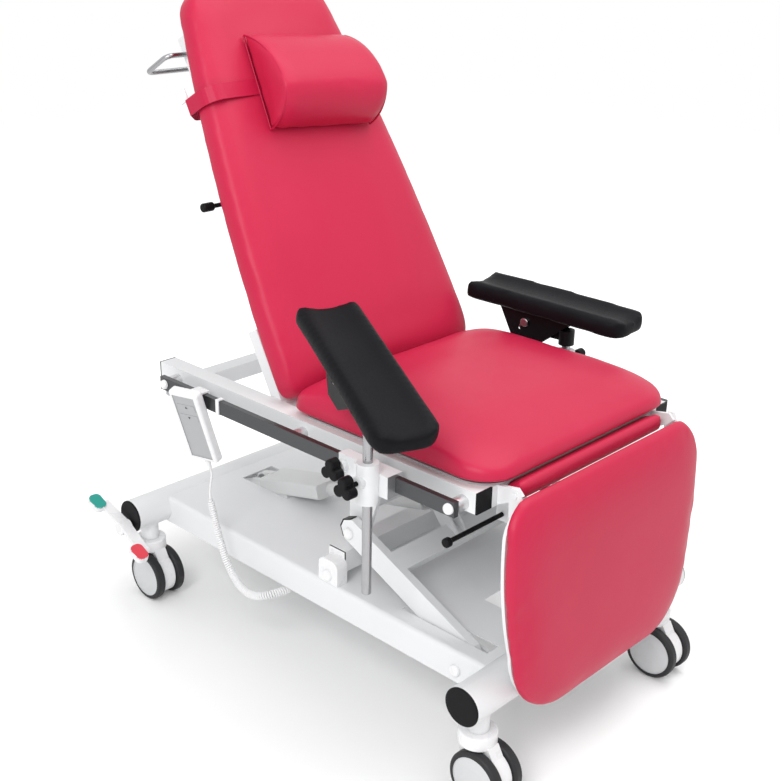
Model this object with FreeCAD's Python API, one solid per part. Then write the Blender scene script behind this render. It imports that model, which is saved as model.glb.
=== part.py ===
import FreeCAD, Part
import math
import os

V = FreeCAD.Vector

# Shared clearances and stock sizes
overrun = 5.0
running_fit = 0.05
seat_gap = 0.3
sheet = 2.0
plate = 6.0
pin_radius = 5.0
button_radius = 10.5
button_height = 6.0
edge_round = 3.0

# Chassis: two round cross tubes joined by two box rails under a folded deck
wheelbase = 879.0
cross_tube_radius = 33.0
cross_tube_wall = 3.0
chassis_width = 600.0
cross_tube_height = 186.5
end_cap = 3.0
end_plug = 12.0
deck_half_width = 221.0
deck_rise = 25.5
deck_skirt_drop = 31.0
deck_bend = 8.0
chassis_rail_width = 20.0
chassis_rail_depth = 42.0
chassis_rail_inset = 5.0
slot_inset = 33.5
slot_width = 30.0
slot_head = -209.0
slot_foot = -398.0
drive_well_low = -53.0
drive_well_high = 29.0
drive_well_foot = 240.0
drive_well_head = 380.0
cable_well_half = 63.0
cable_well_foot = -380.0
cable_well_head = -288.0
control_box_low = 55.0
control_box_high = 150.0
control_box_foot = 235.0
control_box_head = 360.0
control_box_depth = 46.0

# Castors: two wheels on one axle under a round collar
wheel_radius = 50.0
tyre_width = 18.0
tyre_round = 5.0
rim_radius = 41.0
axle_radius = 5.0
castor_inset = 46.0
castor_trail = 20.0
castor_body_width = 26.0
castor_body_radius = 43.0
collar_radius = 32.0
collar_bottom = 102.5
collar_top = 125.0
spigot_radius = 8.0
spigot_bottom = 72.0
neck_radius = 18.0
cam_radius = 12.0
hub_crown = 2.0
wheel_side_gap = 2.0

# Central brake: a hexagon shaft in the head tube, rocked by a two-pad pedal
brake_axis_drop = 18.5
brake_hex_radius = 6.0
brake_tilt = 23.5
pedal_arm_reach = 76.0
pedal_arm_width = 22.0
pedal_arm_thick = 8.0
pedal_hub_radius = 14.0
pedal_hub_length = 24.0
pedal_gap = 4.0
pad_length = 40.0
pad_width = 28.0
pad_thick = 4.0
pad_cup = 9.0
pad_outset = 18.0

# Lift: two bars and two levelling links make a parallelogram
base_pivot_y = -361.0
base_pivot_drop = 8.5
top_pivot_z = 306.0
lift_run = 285.0
link_drop = 24.0
link_depth = 12.0
link_gap = 2.0
link_thick = 6.0
arm_slot_gap = 2.5
arm_thick = 16.0
arm_above = 28.7
arm_below = 17.3
arm_tail = 15.0
arm_nose = 24.0
arm_chamfer = 15.0
arm_end_cap = 3.0
cheek_gap = 3.0
cheek_thick = 8.0
arm_cross_start = 187.0
arm_cross_width = 42.0
arm_cross_thick = 16.0
lug_reach = 261.0
lug_rise = 42.6
lug_thick = 5.0
lug_radius = 14.0

# Rest beam across the deck, with a capped block at each end
beam_foot = -75.0
beam_depth = 40.0
beam_rise = 18.0
beam_height = 40.0
block_inset = 1.0
block_width = 25.0
block_height = 47.0
block_foot = -82.0
block_head = -34.0
block_round = 14.0
stop_plate = 3.0

# Lift drive: a linear actuator lying in the well of the deck
drive_x = -12.0
drive_base_y = 352.0
drive_base_rise = 16.5
drive_eye_radius = 12.0
drive_eye_width = 16.0
drive_rod_radius = 10.0
drive_rod_length = 245.0
drive_tube_radius = 14.0
drive_tube_start = 40.0
drive_tube_end = 305.0
drive_case_start = 300.0
drive_case_end = 479.0
drive_case_half = 38.0
drive_case_above = 18.0
drive_case_below = 13.0
drive_motor_start = 408.0
drive_motor_end = 474.0
drive_motor_half = 30.0
drive_motor_below = 46.0
drive_play = 13.0

# Seat frame: square side tubes, cross tubes, side rails on spacers
frame_outer = 259.0
frame_tube = 35.0
frame_wall = 2.0
frame_top = 532.0
frame_foot = -419.0
frame_head = 363.0
carriage_foot = -125.0
carriage_head = -50.0
carriage_bottom = 272.0
carriage_deck = 8.0
front_cross_y = -401.5
mid_cross_y = -105.0
head_cross_y = 332.5
head_cross_drop = 30.0
bracket_reach = 15.0
rail_outer = 291.0
rail_thick = 10.0
rail_height = 25.0
rail_centre = 510.0
rail_foot = -402.0
rail_head = 320.0
spacer_radius = 12.0
spacer_stations = (-392.0, -40.0, 306.0)
dome_radius = 9.0
dome_height = 7.0
clip_width = 8.0
clip_y = 150.0

# Upholstery
seat_pan_thick = 3.0
seat_half = 255.0
seat_foot = -437.0
seat_back = -10.0
seat_thick = 65.0
seat_front_radius = 62.0
seat_rear_radius = 25.0
roll_half = 195.0
roll_front = -453.0
roll_lip = -437.5
roll_back = -419.3
roll_low = 508.0
roll_high = 539.0
cushion_inset_shares = (0.10, 0.02, 0.0, 0.05, 0.20, 0.60, 1.45)
cushion_height_shares = (0.0, 0.14, 0.46, 0.70, 0.86, 0.96, 1.0)
corner_keep_share = 0.35

# Backrest, measured along and square to its slope from the hinge
back_hinge_y = 60.0
back_hinge_z = 515.0
back_slope = 61.14
back_front = 84.7
back_thick = 65.0
back_start = 14.0
back_end = 757.0
back_low_half = 240.0
back_mid_half = 220.0
back_high_half = 170.0
back_low_radius = 34.0
back_high_radius = 62.0
back_board_thick = 10.0
back_board_inset = 22.0
back_tube = 25.0
back_tube_outer = 150.0
back_tube_end = 690.0
back_cross_stations = (120.0, 420.0, 665.0)
back_knuckle_radius = 15.0
back_knuckle_outer = 222.0
back_knuckle_inner = 206.0
handle_rod = 4.5
handle_outer = 196.0
handle_station = 657.0
handle_root = -3.0
handle_rear = -76.0
handle_bend = 14.0
back_lever_station = 377.0
back_lever_x = 235.0
lever_rod = 4.0
lever_knob_radius = 8.0
lever_knob_length = 24.0
headrest_low = 458.0
headrest_high = 645.0
headrest_half = 126.0
headrest_shift = 27.0
headrest_turn = -4.0
headrest_proud = 78.0
headrest_low_share = 0.30
headrest_side = 22.0
strap_station = 552.0
strap_width = 29.0
strap_half = 203.0
strap_thick = 2.0
buckle_size = 24.0
buckle_thick = 4.0

# Gas springs of the backrest and the legrest
gas_radius = 9.0
gas_rod_radius = 4.0
gas_eye_radius = 9.0
gas_eye_width = 10.0
gas_ear = 4.0
gas_side_gap = 0.5
back_gas_y = -200.0
back_gas_z = 472.0
back_gas_s = -25.5
back_gas_n = -43.0
back_gas_x = 190.0
back_gas_play = 5.5
back_gas_stroke = 51.0
back_gas_body_share = 0.68
leg_gas_y = -285.0
leg_gas_z = 472.0
leg_gas_s = 50.0
leg_gas_n = 22.0
leg_gas_x = -70.0
leg_gas_play = 10.0
leg_gas_stroke = 0.0
leg_gas_body_share = 0.82
leg_gas_fork = 9.5

# Legrest, measured down its slope from the hinge
leg_hinge_y = -455.0
leg_hinge_z = 527.0
leg_lean = 3.0
leg_front = 44.4
leg_thick = 34.0
leg_start = 7.0
leg_end = 382.5
leg_half = 260.0
leg_low_half = 243.0
leg_high_radius = 55.0
leg_low_radius = 112.0
leg_board_thick = 6.0
leg_board_inset = 9.0
leg_lug_inner = 205.0
leg_lug_outer = 211.0
leg_arm_outer = 217.0
leg_arm_radius = 11.0
leg_arm_length = 190.0
leg_lever_y = -362.0
leg_lever_z = 428.0
leg_lever_outer = -262.0
leg_lever_inner = -104.0

# Armrests: pad, bracket, swivel head, pole, rail clamp and two knobs a side
pole_x = 318.0
pole_radius = 8.0
pole_length = 334.0
head_reach = 82.6
head_collar_radius = 15.0
head_collar_low = -31.0
head_collar_high = -2.0
head_bar_low = -24.0
head_bar_high = -6.0
head_bar_half = 6.0
head_boss_radius = 11.0
tilt_pin_radius = 5.0
tilt_head_radius = 9.0
tilt_head_height = 4.0
bracket_half = 17.0
bracket_sheet = 3.0
bracket_top_head = 68.0
bracket_top_foot = -114.0
bracket_low_head = 22.0
bracket_low_foot = -20.0
bracket_low = -47.0
bracket_hole_radius = 2.5
bracket_hole_y = 13.0
bracket_hole_z = -16.0
arm_pad_length = 341.0
arm_pad_half = 52.5
arm_pad_thick = 35.5
arm_pad_centre = -57.0
arm_pad_bottom = 33.5
arm_pad_dish = 8.0
arm_pad_rim = 9.0
arm_pad_foot_radius = 30.0
arm_pad_head_radius = 9.0
right_pole_y = -250.0
right_bolt_z = 656.0
right_yaw = -21.8
right_tilt = 17.2
right_pad_shift = 0.0
left_pole_y = -158.0
left_bolt_z = 590.0
left_yaw = 4.9
left_tilt = 2.6
left_pad_shift = -16.0
sleeve_radius = 18.0
sleeve_low = 479.0
sleeve_high = 547.0
jaw_foot = 34.0
jaw_head = 40.0
jaw_step = 85.0
jaw_wall = 6.0
jaw_lip = 4.5
knob_lobe_radius = 9.5
knob_lobe_centre = 10.0
knob_thick = 18.0
knob_stud = 4.0
pole_knob_x = 366.0
pole_knob_z = 518.0
rail_knob_x = 323.0
rail_knob_offset = 73.0
stud_boss_radius = 11.0

# Hand control with its hook, two keys and its coiled lead
handset_x = -306.8
handset_y = 206.3
handset_z = 457.4
handset_yaw = 12.0
handset_lean = -16.4
handset_roll = -3.3
handset_width = 66.7
handset_height = 153.0
handset_thick = 20.0
handset_round = 5.0
handset_recess = 1.5
handset_frame = 8.0
key_width = 40.0
key_height = 12.0
key_thick = 3.0
key_gap = 0.4
key_rows = (44.0, 22.0)
hook_width = 30.0
hook_thick = 3.0
hook_drop = 10.0
hook_gap = 2.5
boot_length = 26.0
boot_wide = 6.0
boot_narrow = 3.5
lead_radius = 2.4
coil_radius = 7.0
lead_upper = (V(-264.0, 212.5, 338.0), V(-262.5, 219.0, 318.0))
lead_coiled = (
    V(-262.0, 221.5, 294.0), V(-261.0, 212.5, 262.0), V(-261.5, 203.0, 232.0), V(-261.0, 191.5, 201.0),
    V(-262.0, 177.0, 173.0), V(-261.0, 157.0, 147.0), V(-261.5, 129.0, 132.0), V(-259.0, 99.0, 131.0),
    V(-246.0, 75.0, 139.0), V(-224.0, 64.0, 142.5),
)
lead_lower = (V(-203.0, 60.0, 144.0), V(-187.0, 58.0, 153.0), V(-179.0, 61.0, 172.0))


def yz_point(frame, s, n):
    y, z, angle = frame
    c = math.cos(math.radians(angle))
    d = math.sin(math.radians(angle))
    return y + s * c - n * d, z + s * d + n * c


def place(frame, x, s, n):
    y, z = yz_point(frame, s, n)
    return V(x, y, z)


def box(x, y, z):
    return Part.makeBox(x[1] - x[0], y[1] - y[0], z[1] - z[0], V(x[0], y[0], z[0]))


def rod(radius, a, b):
    return Part.makeCylinder(radius, (b - a).Length, a, b - a)


def slab(frame, points, x_low, x_high):
    corners = [place(frame, x_low, s, n) for s, n in points]
    face = Part.Face(Part.makePolygon(corners + corners[:1]))
    return face.extrude(V(x_high - x_low, 0, 0))


def block(frame, x, s, n):
    return slab(frame, [(s[0], n[0]), (s[1], n[0]), (s[1], n[1]), (s[0], n[1])], x[0], x[1])


def mirrored(shape):
    return shape.mirror(V(0, 0, 0), V(1, 0, 0))


def both(shape):
    return [shape, mirrored(shape)]


def joined(shapes):
    return shapes[0].fuse(shapes[1:]).removeSplitter()


def save(node, solids):
    Part.makeCompound(solids).exportStep("parts/" + node + ".step")


def tube_run(outer, wall, a, b):
    return rod(outer, a, b).cut(rod(outer - wall, a, b))


def box_tube(x, y, z, wall, along):
    inner = [[x[0] + wall, x[1] - wall], [y[0] + wall, y[1] - wall], [z[0] + wall, z[1] - wall]]
    inner[along] = [(x, y, z)[along][0] - overrun, (x, y, z)[along][1] + overrun]
    return box(x, y, z).cut(box(*inner))


level = (0.0, 0.0, 0.0)
tube_y = wheelbase / 2
tube_end = chassis_width / 2
castor_x = tube_end - castor_inset
deck_top = cross_tube_height + deck_rise
deck_skirt = cross_tube_height - deck_skirt_drop
slot_outer = deck_half_width - slot_inset
slot_inner = slot_outer - slot_width
brake_axis_height = cross_tube_height - brake_axis_drop
base_pivot_z = cross_tube_height - base_pivot_drop
lift_rise = top_pivot_z - base_pivot_z
arm_outer = slot_outer - arm_slot_gap
arm_inner = arm_outer - arm_thick
link_outer = arm_inner - link_gap
link_inner = link_outer - link_thick
cheek_outer = link_inner - cheek_gap
cheek_inner = cheek_outer - cheek_thick
block_outer = deck_half_width - block_inset
block_inner = block_outer - block_width
beam_half = block_inner - stop_plate
beam_bottom = deck_top + beam_rise
beam_top = beam_bottom + beam_height
block_top = deck_top + block_height
drive_base_z = cross_tube_height + drive_base_rise
arm_angle = math.degrees(math.atan2(lift_rise, lift_run))
arm_length = math.hypot(lift_run, lift_rise)
arm_frame = (base_pivot_y, base_pivot_z, arm_angle)
top_pivot_y = base_pivot_y + lift_run
link_frame = (base_pivot_y, base_pivot_z - link_drop, arm_angle)
lug_y, lug_z = yz_point(arm_frame, lug_reach, lug_rise)
drive_angle = math.degrees(math.atan2(drive_base_z - lug_z, drive_base_y - lug_y))
drive_frame = (lug_y, lug_z, drive_angle)
drive_length = math.hypot(drive_base_y - lug_y, drive_base_z - lug_z)
frame_inner = frame_outer - frame_tube
frame_bottom = frame_top - frame_tube
seat_bottom = frame_top + seat_pan_thick
seat_frame_level = (0.0, seat_bottom, 0.0)
back_frame = (back_hinge_y, back_hinge_z, back_slope)
leg_frame = (leg_hinge_y, leg_hinge_z, -90.0 - leg_lean)


# Castors
def castor_tyre(side):
    inner = castor_body_width / 2 + wheel_side_gap
    a = V(side * inner, -castor_trail, wheel_radius)
    b = V(side * (inner + tyre_width), -castor_trail, wheel_radius)
    tyre = rod(wheel_radius, a, b)
    tyre = tyre.makeFillet(tyre_round, [e for e in tyre.Edges if len(e.Vertexes) == 1])
    return tyre.cut(rod(rim_radius, a, b))


def castor_hubs():
    inner = castor_body_width / 2 + wheel_side_gap
    outer = inner + tyre_width - sheet
    y = -castor_trail
    pieces = [rod(axle_radius, V(-outer, y, wheel_radius), V(outer, y, wheel_radius))]
    for side in (-1, 1):
        disc = rod(rim_radius, V(side * inner, y, wheel_radius), V(side * outer, y, wheel_radius))
        cap = Part.makeCone(rim_radius - edge_round, rim_radius / 2, hub_crown,
                            V(side * outer, y, wheel_radius), V(side, 0, 0))
        pieces += [disc, cap]
    return joined(pieces)


def castor_housing():
    half = castor_body_width / 2
    y = -castor_trail
    collar = rod(collar_radius, V(0, 0, collar_bottom), V(0, 0, collar_top))
    rim = [e for e in collar.Edges if len(e.Vertexes) == 1 and e.CenterOfMass.z > collar_top - edge_round]
    collar = collar.makeFillet(edge_round, rim)
    web = rod(castor_body_radius, V(-half, y, wheel_radius), V(half, y, wheel_radius))
    shoulder = slab(level, [(y - castor_body_radius, wheel_radius), (-collar_radius, collar_bottom + edge_round),
                            (collar_radius - edge_round, collar_bottom + edge_round),
                            (y + castor_body_radius, wheel_radius)], -half, half)
    body = joined([collar, web, shoulder])
    body = body.cut(rod(spigot_radius + running_fit, V(0, 0, spigot_bottom - seat_gap),
                        V(0, 0, collar_top + overrun)))
    return body.cut(rod(axle_radius + running_fit, V(-half - overrun, y, wheel_radius),
                        V(half + overrun, y, wheel_radius)))


def castors():
    places = {"castor_foot_right": (-1, -1), "castor_foot_left": (1, -1),
              "castor_head_right": (-1, 1), "castor_head_left": (1, 1)}
    for name, (side, end) in places.items():
        spot = V(side * castor_x, end * tube_y, 0)
        save(name + "_housing", [castor_housing().translated(spot)])
        wheels = [castor_tyre(-1), castor_tyre(1), castor_hubs()]
        save(name + "_wheels", [w.translated(spot) for w in wheels])


# Chassis
def hexagon(radius, centre, direction, length):
    points = []
    for i in range(7):
        a = math.radians(60 * i)
        points.append(centre + V(0, radius * math.cos(a), radius * math.sin(a)))
    return Part.Face(Part.makePolygon(points)).extrude(direction * length)


def chassis():
    rail_low = cross_tube_height - chassis_rail_depth / 2 - chassis_rail_inset
    rail_z = (rail_low, rail_low + chassis_rail_depth)
    rail_x = (deck_half_width - sheet - chassis_rail_inset - chassis_rail_width,
              deck_half_width - sheet - chassis_rail_inset)
    solids = []
    bores = []
    for end in (-1, 1):
        a = V(-tube_end + end_cap, end * tube_y, cross_tube_height)
        b = V(tube_end - end_cap, end * tube_y, cross_tube_height)
        solids.append(rod(cross_tube_radius, a, b))
        bores.append(rod(cross_tube_radius - cross_tube_wall, a, b))
        for side in (-1, 1):
            foot = V(side * castor_x, end * tube_y, collar_top + seat_gap)
            solids.append(rod(neck_radius, foot, V(foot.x, foot.y, cross_tube_height)))
    reach = tube_y - cross_tube_radius + cross_tube_wall
    for rail in both(box_tube(rail_x, (-reach, reach), rail_z, sheet, 1)):
        solids.append(rail)
    bracket = [(-reach - end_cap, base_pivot_z - link_drop + overrun), (-reach - end_cap, base_pivot_z + plate),
               (base_pivot_y + 3 * pin_radius, base_pivot_z + 3 * pin_radius),
               (base_pivot_y + 3 * pin_radius, base_pivot_z - link_drop - 2 * pin_radius),
               (base_pivot_y - 2 * pin_radius, base_pivot_z - link_drop - 2 * pin_radius)]
    boss_end = arm_outer + 2 * seat_gap
    for side in (-1, 1):
        solids.append(slab(level, bracket, side * cheek_inner, side * (cheek_inner + plate)))
        solids.append(rod(2.4 * pin_radius, V(side * boss_end, base_pivot_y, base_pivot_z),
                          V(side * (rail_x[0] + sheet), base_pivot_y, base_pivot_z)))
    eye_half = drive_eye_width / 2 + seat_gap
    for side in (-1, 1):
        ear = [(drive_base_y - drive_eye_radius, drive_base_z - drive_eye_radius),
               (drive_base_y - drive_eye_radius, drive_base_z + pin_radius),
               (drive_base_y + drive_eye_radius, drive_base_z + pin_radius),
               (tube_y - cross_tube_radius + cross_tube_wall, cross_tube_height + pin_radius),
               (tube_y - cross_tube_radius + cross_tube_wall, cross_tube_height - 2 * pin_radius)]
        low = drive_x + side * eye_half
        solids.append(slab(level, ear, low, low + side * lug_thick))
    solids.append(rod(pin_radius, V(drive_x - eye_half - lug_thick, drive_base_y, drive_base_z),
                      V(drive_x + eye_half + lug_thick, drive_base_y, drive_base_z)))
    frame = joined(solids)
    for bore in bores:
        frame = frame.cut(bore)
    for side in (-1, 1):
        frame = frame.cut(rod(pin_radius + running_fit, V(0, base_pivot_y, base_pivot_z),
                              V(side * tube_end, base_pivot_y, base_pivot_z)))
        frame = frame.cut(rod(pin_radius + running_fit, V(0, base_pivot_y, base_pivot_z - link_drop),
                              V(side * (link_outer + overrun), base_pivot_y, base_pivot_z - link_drop)))
    cams = []
    for end in (-1, 1):
        for side in (-1, 1):
            x = side * castor_x
            y = end * tube_y
            spigot = rod(spigot_radius, V(x, y, spigot_bottom), V(x, y, cross_tube_height - 2 * cam_radius))
            cam = rod(cam_radius, V(x, y, cross_tube_height - 2 * cam_radius), V(x, y, cross_tube_height))
            cams.append(spigot.fuse(cam))
    frame = joined([frame] + cams)
    shaft_hole = rod(brake_hex_radius + 2 * seat_gap, V(-tube_end, tube_y, brake_axis_height),
                     V(tube_end - cross_tube_radius, tube_y, brake_axis_height))
    frame = frame.cut(shaft_hole)
    save("chassis_frame", [frame])


def tube_end_caps():
    caps = []
    plug = cross_tube_radius - cross_tube_wall - running_fit
    for end in (-1, 1):
        for side in (-1, 1):
            inner = V(side * (tube_end - end_cap), end * tube_y, cross_tube_height)
            disc = rod(cross_tube_radius, inner, V(side * tube_end, end * tube_y, cross_tube_height))
            rim = [e for e in disc.Edges if len(e.Vertexes) == 1 and abs(e.CenterOfMass.x) > tube_end - sheet]
            disc = disc.makeFillet(sheet, rim)
            skirt = rod(plug, inner - V(side * end_plug, 0, 0), inner)
            hollow = rod(plug - sheet, inner - V(side * end_plug, 0, 0), inner)
            cap = joined([disc, skirt.cut(hollow)])
            if end > 0 and side < 0:
                cap = cap.cut(rod(brake_hex_radius + seat_gap,
                                  V(-tube_end - overrun, tube_y, brake_axis_height),
                                  V(-tube_end + 2 * end_plug, tube_y, brake_axis_height)))
            caps.append(cap)
    save("tube_end_caps", caps)


def deck_cover():
    shell = box((-deck_half_width, deck_half_width), (-tube_y, tube_y), (deck_skirt, deck_top))
    top = [e for e in shell.Edges if e.CenterOfMass.z > deck_top - sheet and abs(e.CenterOfMass.x) > slot_outer]
    shell = shell.makeFillet(deck_bend, top)
    inner_half = deck_half_width - sheet
    hollow = box((-inner_half, inner_half), (-tube_y - overrun, tube_y + overrun),
                 (deck_skirt - overrun, deck_top - sheet))
    bend = [e for e in hollow.Edges if e.CenterOfMass.z > deck_top - 2 * sheet and abs(e.CenterOfMass.x) > slot_outer]
    shell = shell.cut(hollow.makeFillet(deck_bend - sheet, bend))
    cut_z = (deck_top - 3 * sheet, deck_top + overrun)
    cuts = both(box((slot_inner, slot_outer), (slot_foot, slot_head), cut_z))
    cuts.append(box((drive_well_low, drive_well_high), (drive_well_foot, drive_well_head), cut_z))
    cuts.append(box((-cable_well_half, cable_well_half), (cable_well_foot, cable_well_head), cut_z))
    for side in (-1, 1):
        cuts.append(rod(pin_radius + seat_gap, V(side * (inner_half - overrun), base_pivot_y, base_pivot_z),
                        V(side * (deck_half_width + overrun), base_pivot_y, base_pivot_z)))
    for end in (-1, 1):
        cuts.append(rod(cross_tube_radius + seat_gap / 3, V(-tube_end, end * tube_y, cross_tube_height),
                        V(tube_end, end * tube_y, cross_tube_height)))
    for cut in cuts:
        shell = shell.cut(cut)
    keep = max(shell.Solids, key=lambda s: s.Volume)
    save("deck_cover", [keep])


def control_box():
    z = deck_top - sheet
    case = box((control_box_low, control_box_high), (control_box_foot, control_box_head),
               (z - control_box_depth, z))
    sides = [e for e in case.Edges if abs(e.Vertexes[0].Z - e.Vertexes[-1].Z) > sheet]
    save("control_box", [case.makeFillet(edge_round, sides)])


# Central brake
def brake():
    hub_outer = -tube_end - pedal_gap - pedal_hub_length
    hub_inner = -tube_end - pedal_gap
    shaft_end = castor_x + cam_radius
    shaft = hexagon(brake_hex_radius, V(hub_outer + end_cap, tube_y, brake_axis_height), V(1, 0, 0),
                    shaft_end - hub_outer - end_cap)
    save("brake_shaft", [shaft])
    frame = (tube_y, brake_axis_height, brake_tilt)
    hub = rod(pedal_hub_radius, V(hub_outer, tube_y, brake_axis_height),
              V(hub_inner, tube_y, brake_axis_height))
    pieces = [hub]
    pads = []
    cup_x = (hub_outer - pad_outset, hub_outer - pad_outset + pad_width)
    for end in (-1, 1):
        arm = slab(frame, [(0, pedal_hub_radius - pedal_arm_thick), (0, pedal_hub_radius),
                           (end * pedal_arm_reach, pad_cup - pedal_arm_thick / 2),
                           (end * pedal_arm_reach, -pedal_arm_thick / 2)],
                   hub_outer, hub_outer + pedal_arm_width)
        centre = place(frame, sum(cup_x) / 2, end * pedal_arm_reach, 0)
        for bottom, height, margin, target in ((0, pad_cup, 0, pieces), (pad_cup, pad_thick, sheet / 2, pads)):
            half_x = pad_width / 2 - margin
            half_s = pad_length / 2 - margin
            body = box((-half_x, half_x), (-half_s, half_s), (bottom, bottom + height))
            corners = [e for e in body.Edges if abs(e.Vertexes[0].Z - e.Vertexes[-1].Z) > sheet]
            body = body.makeFillet(half_x - edge_round, corners)
            body.Placement = FreeCAD.Placement(centre, FreeCAD.Rotation(V(1, 0, 0), brake_tilt))
            target.append(body)
        pieces.append(arm)
    pedal = joined(pieces)
    pedal = pedal.cut(hexagon(brake_hex_radius, V(hub_outer + end_cap, tube_y, brake_axis_height),
                              V(1, 0, 0), pedal_hub_length + pedal_gap + overrun))
    save("brake_pedal", [pedal] + pads)


# Lift
def arm_outline(nose):
    return [(-arm_tail, -arm_below + arm_chamfer / 2), (-arm_tail + arm_chamfer / 2, -arm_below),
            (nose - arm_chamfer, -arm_below), (nose, -arm_below + arm_chamfer),
            (nose, arm_above - arm_chamfer), (nose - arm_chamfer, arm_above),
            (arm_chamfer / 2, arm_above), (-arm_tail, arm_above - arm_chamfer)]


def lift_arms():
    nose = arm_length + arm_nose
    bars = []
    caps = []
    for side in (-1, 1):
        bar = slab(arm_frame, arm_outline(nose - arm_end_cap), side * arm_inner, side * arm_outer)
        rim = slab(arm_frame, arm_outline(nose), side * arm_inner, side * arm_outer)
        head = block(arm_frame, sorted((side * arm_inner, side * arm_outer)),
                     (nose - arm_chamfer, nose + overrun), (-arm_below - overrun, arm_above + overrun))
        caps.append(rim.common(head).cut(bar))
        bars.append(bar)
    cross_n = (arm_above - arm_cross_thick, arm_above - sheet / 4)
    ties = [block(arm_frame, (-arm_inner, arm_inner), (arm_cross_start, arm_cross_start + arm_cross_width), cross_n)]
    eye_half = drive_eye_width / 2 + seat_gap
    lug = [(arm_cross_start + plate, arm_above - sheet), (arm_cross_start + arm_cross_width, cross_n[0]),
           (lug_reach + lug_radius, lug_rise - lug_radius / 2), (lug_reach + lug_radius / 2, lug_rise + lug_radius),
           (lug_reach - lug_radius, lug_rise + lug_radius)]
    for side in (-1, 1):
        low = drive_x + side * eye_half
        ties.append(slab(arm_frame, lug, low, low + side * lug_thick))
    ties.append(rod(pin_radius, V(drive_x - eye_half - lug_thick, lug_y, lug_z),
                    V(drive_x + eye_half + lug_thick, lug_y, lug_z)))
    for y, z in ((base_pivot_y, base_pivot_z), (top_pivot_y, top_pivot_z)):
        reach = arm_outer + sheet
        bars = [bar.cut(rod(pin_radius, V(-reach, y, z), V(reach, y, z))) for bar in bars]
    save("lift_arms", bars + [joined(ties)] + caps)


def capped_pin(side, y, z, inner, outer):
    pin = rod(pin_radius, V(side * inner, y, z), V(side * outer, y, z))
    cap = rod(button_radius, V(side * outer, y, z), V(side * (outer + button_height), y, z))
    rim = [e for e in cap.Edges if len(e.Vertexes) == 1 and abs(e.CenterOfMass.x) > outer + sheet]
    return pin.fuse(cap.makeFillet(edge_round, rim)).removeSplitter()


def lift_pins():
    pins = []
    for side in (-1, 1):
        pins.append(capped_pin(side, base_pivot_y, base_pivot_z, cheek_inner, deck_half_width + seat_gap))
        pins.append(capped_pin(side, top_pivot_y, top_pivot_z, cheek_inner, arm_outer + seat_gap))
    save("lift_pins", pins)


def levelling_links():
    links = []
    for side in (-1, 1):
        end = link_depth / 2
        bar = block(link_frame, sorted((side * link_inner, side * link_outer)), (0, arm_length), (-end, end))
        eyes = [rod(end + sheet, V(side * link_inner, base_pivot_y, base_pivot_z - link_drop),
                    V(side * link_outer, base_pivot_y, base_pivot_z - link_drop)),
                rod(end, V(side * link_inner, top_pivot_y, top_pivot_z - link_drop),
                    V(side * link_outer, top_pivot_y, top_pivot_z - link_drop)),
                rod(pin_radius, V(side * cheek_inner, base_pivot_y, base_pivot_z - link_drop),
                    V(side * link_outer, base_pivot_y, base_pivot_z - link_drop))]
        link = joined([bar] + eyes)
        hole = rod(pin_radius * 0.6 + seat_gap, V(side * (link_inner - overrun), top_pivot_y,
                                                   top_pivot_z - link_drop),
                   V(side * (link_outer + overrun), top_pivot_y, top_pivot_z - link_drop))
        links.append(link.cut(hole))
    save("levelling_links", links)


def lift_carriage():
    pieces = []
    for side in (-1, 1):
        cheek = [(top_pivot_y - 2 * pin_radius, carriage_bottom), (top_pivot_y + 4 * pin_radius, carriage_bottom),
                 (carriage_head, carriage_bottom + frame_tube), (carriage_head, frame_bottom),
                 (carriage_foot, frame_bottom), (carriage_foot, frame_bottom - 3 * frame_tube),
                 (top_pivot_y - 4 * pin_radius, top_pivot_z)]
        pieces.append(slab(level, cheek, side * cheek_inner, side * cheek_outer))
        pieces.append(rod(pin_radius * 0.6, V(side * cheek_outer, top_pivot_y, top_pivot_z - link_drop),
                          V(side * (link_outer + seat_gap), top_pivot_y, top_pivot_z - link_drop)))
    pieces.append(box((-cheek_outer, cheek_outer), (carriage_foot, carriage_head),
                      (frame_bottom - carriage_deck, frame_bottom)))
    panel_low = top_pivot_z + frame_tube
    panel = [(carriage_foot, frame_bottom - 3 * frame_tube), (carriage_foot + plate, frame_bottom - 3 * frame_tube),
             (top_pivot_y - plate, panel_low), (top_pivot_y - 2 * plate, panel_low)]
    pieces.append(slab(level, panel, -cheek_outer, cheek_outer))
    pieces.append(box((-cheek_outer, cheek_outer), (carriage_foot, carriage_foot + plate),
                      (frame_bottom - 3 * frame_tube, frame_bottom)))
    carriage = joined(pieces)
    for side in (-1, 1):
        carriage = carriage.cut(rod(pin_radius + running_fit, V(side * (cheek_inner - overrun), top_pivot_y,
                                                                top_pivot_z),
                                    V(side * (cheek_outer + overrun), top_pivot_y, top_pivot_z)))
    save("lift_carriage", [carriage])


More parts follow.
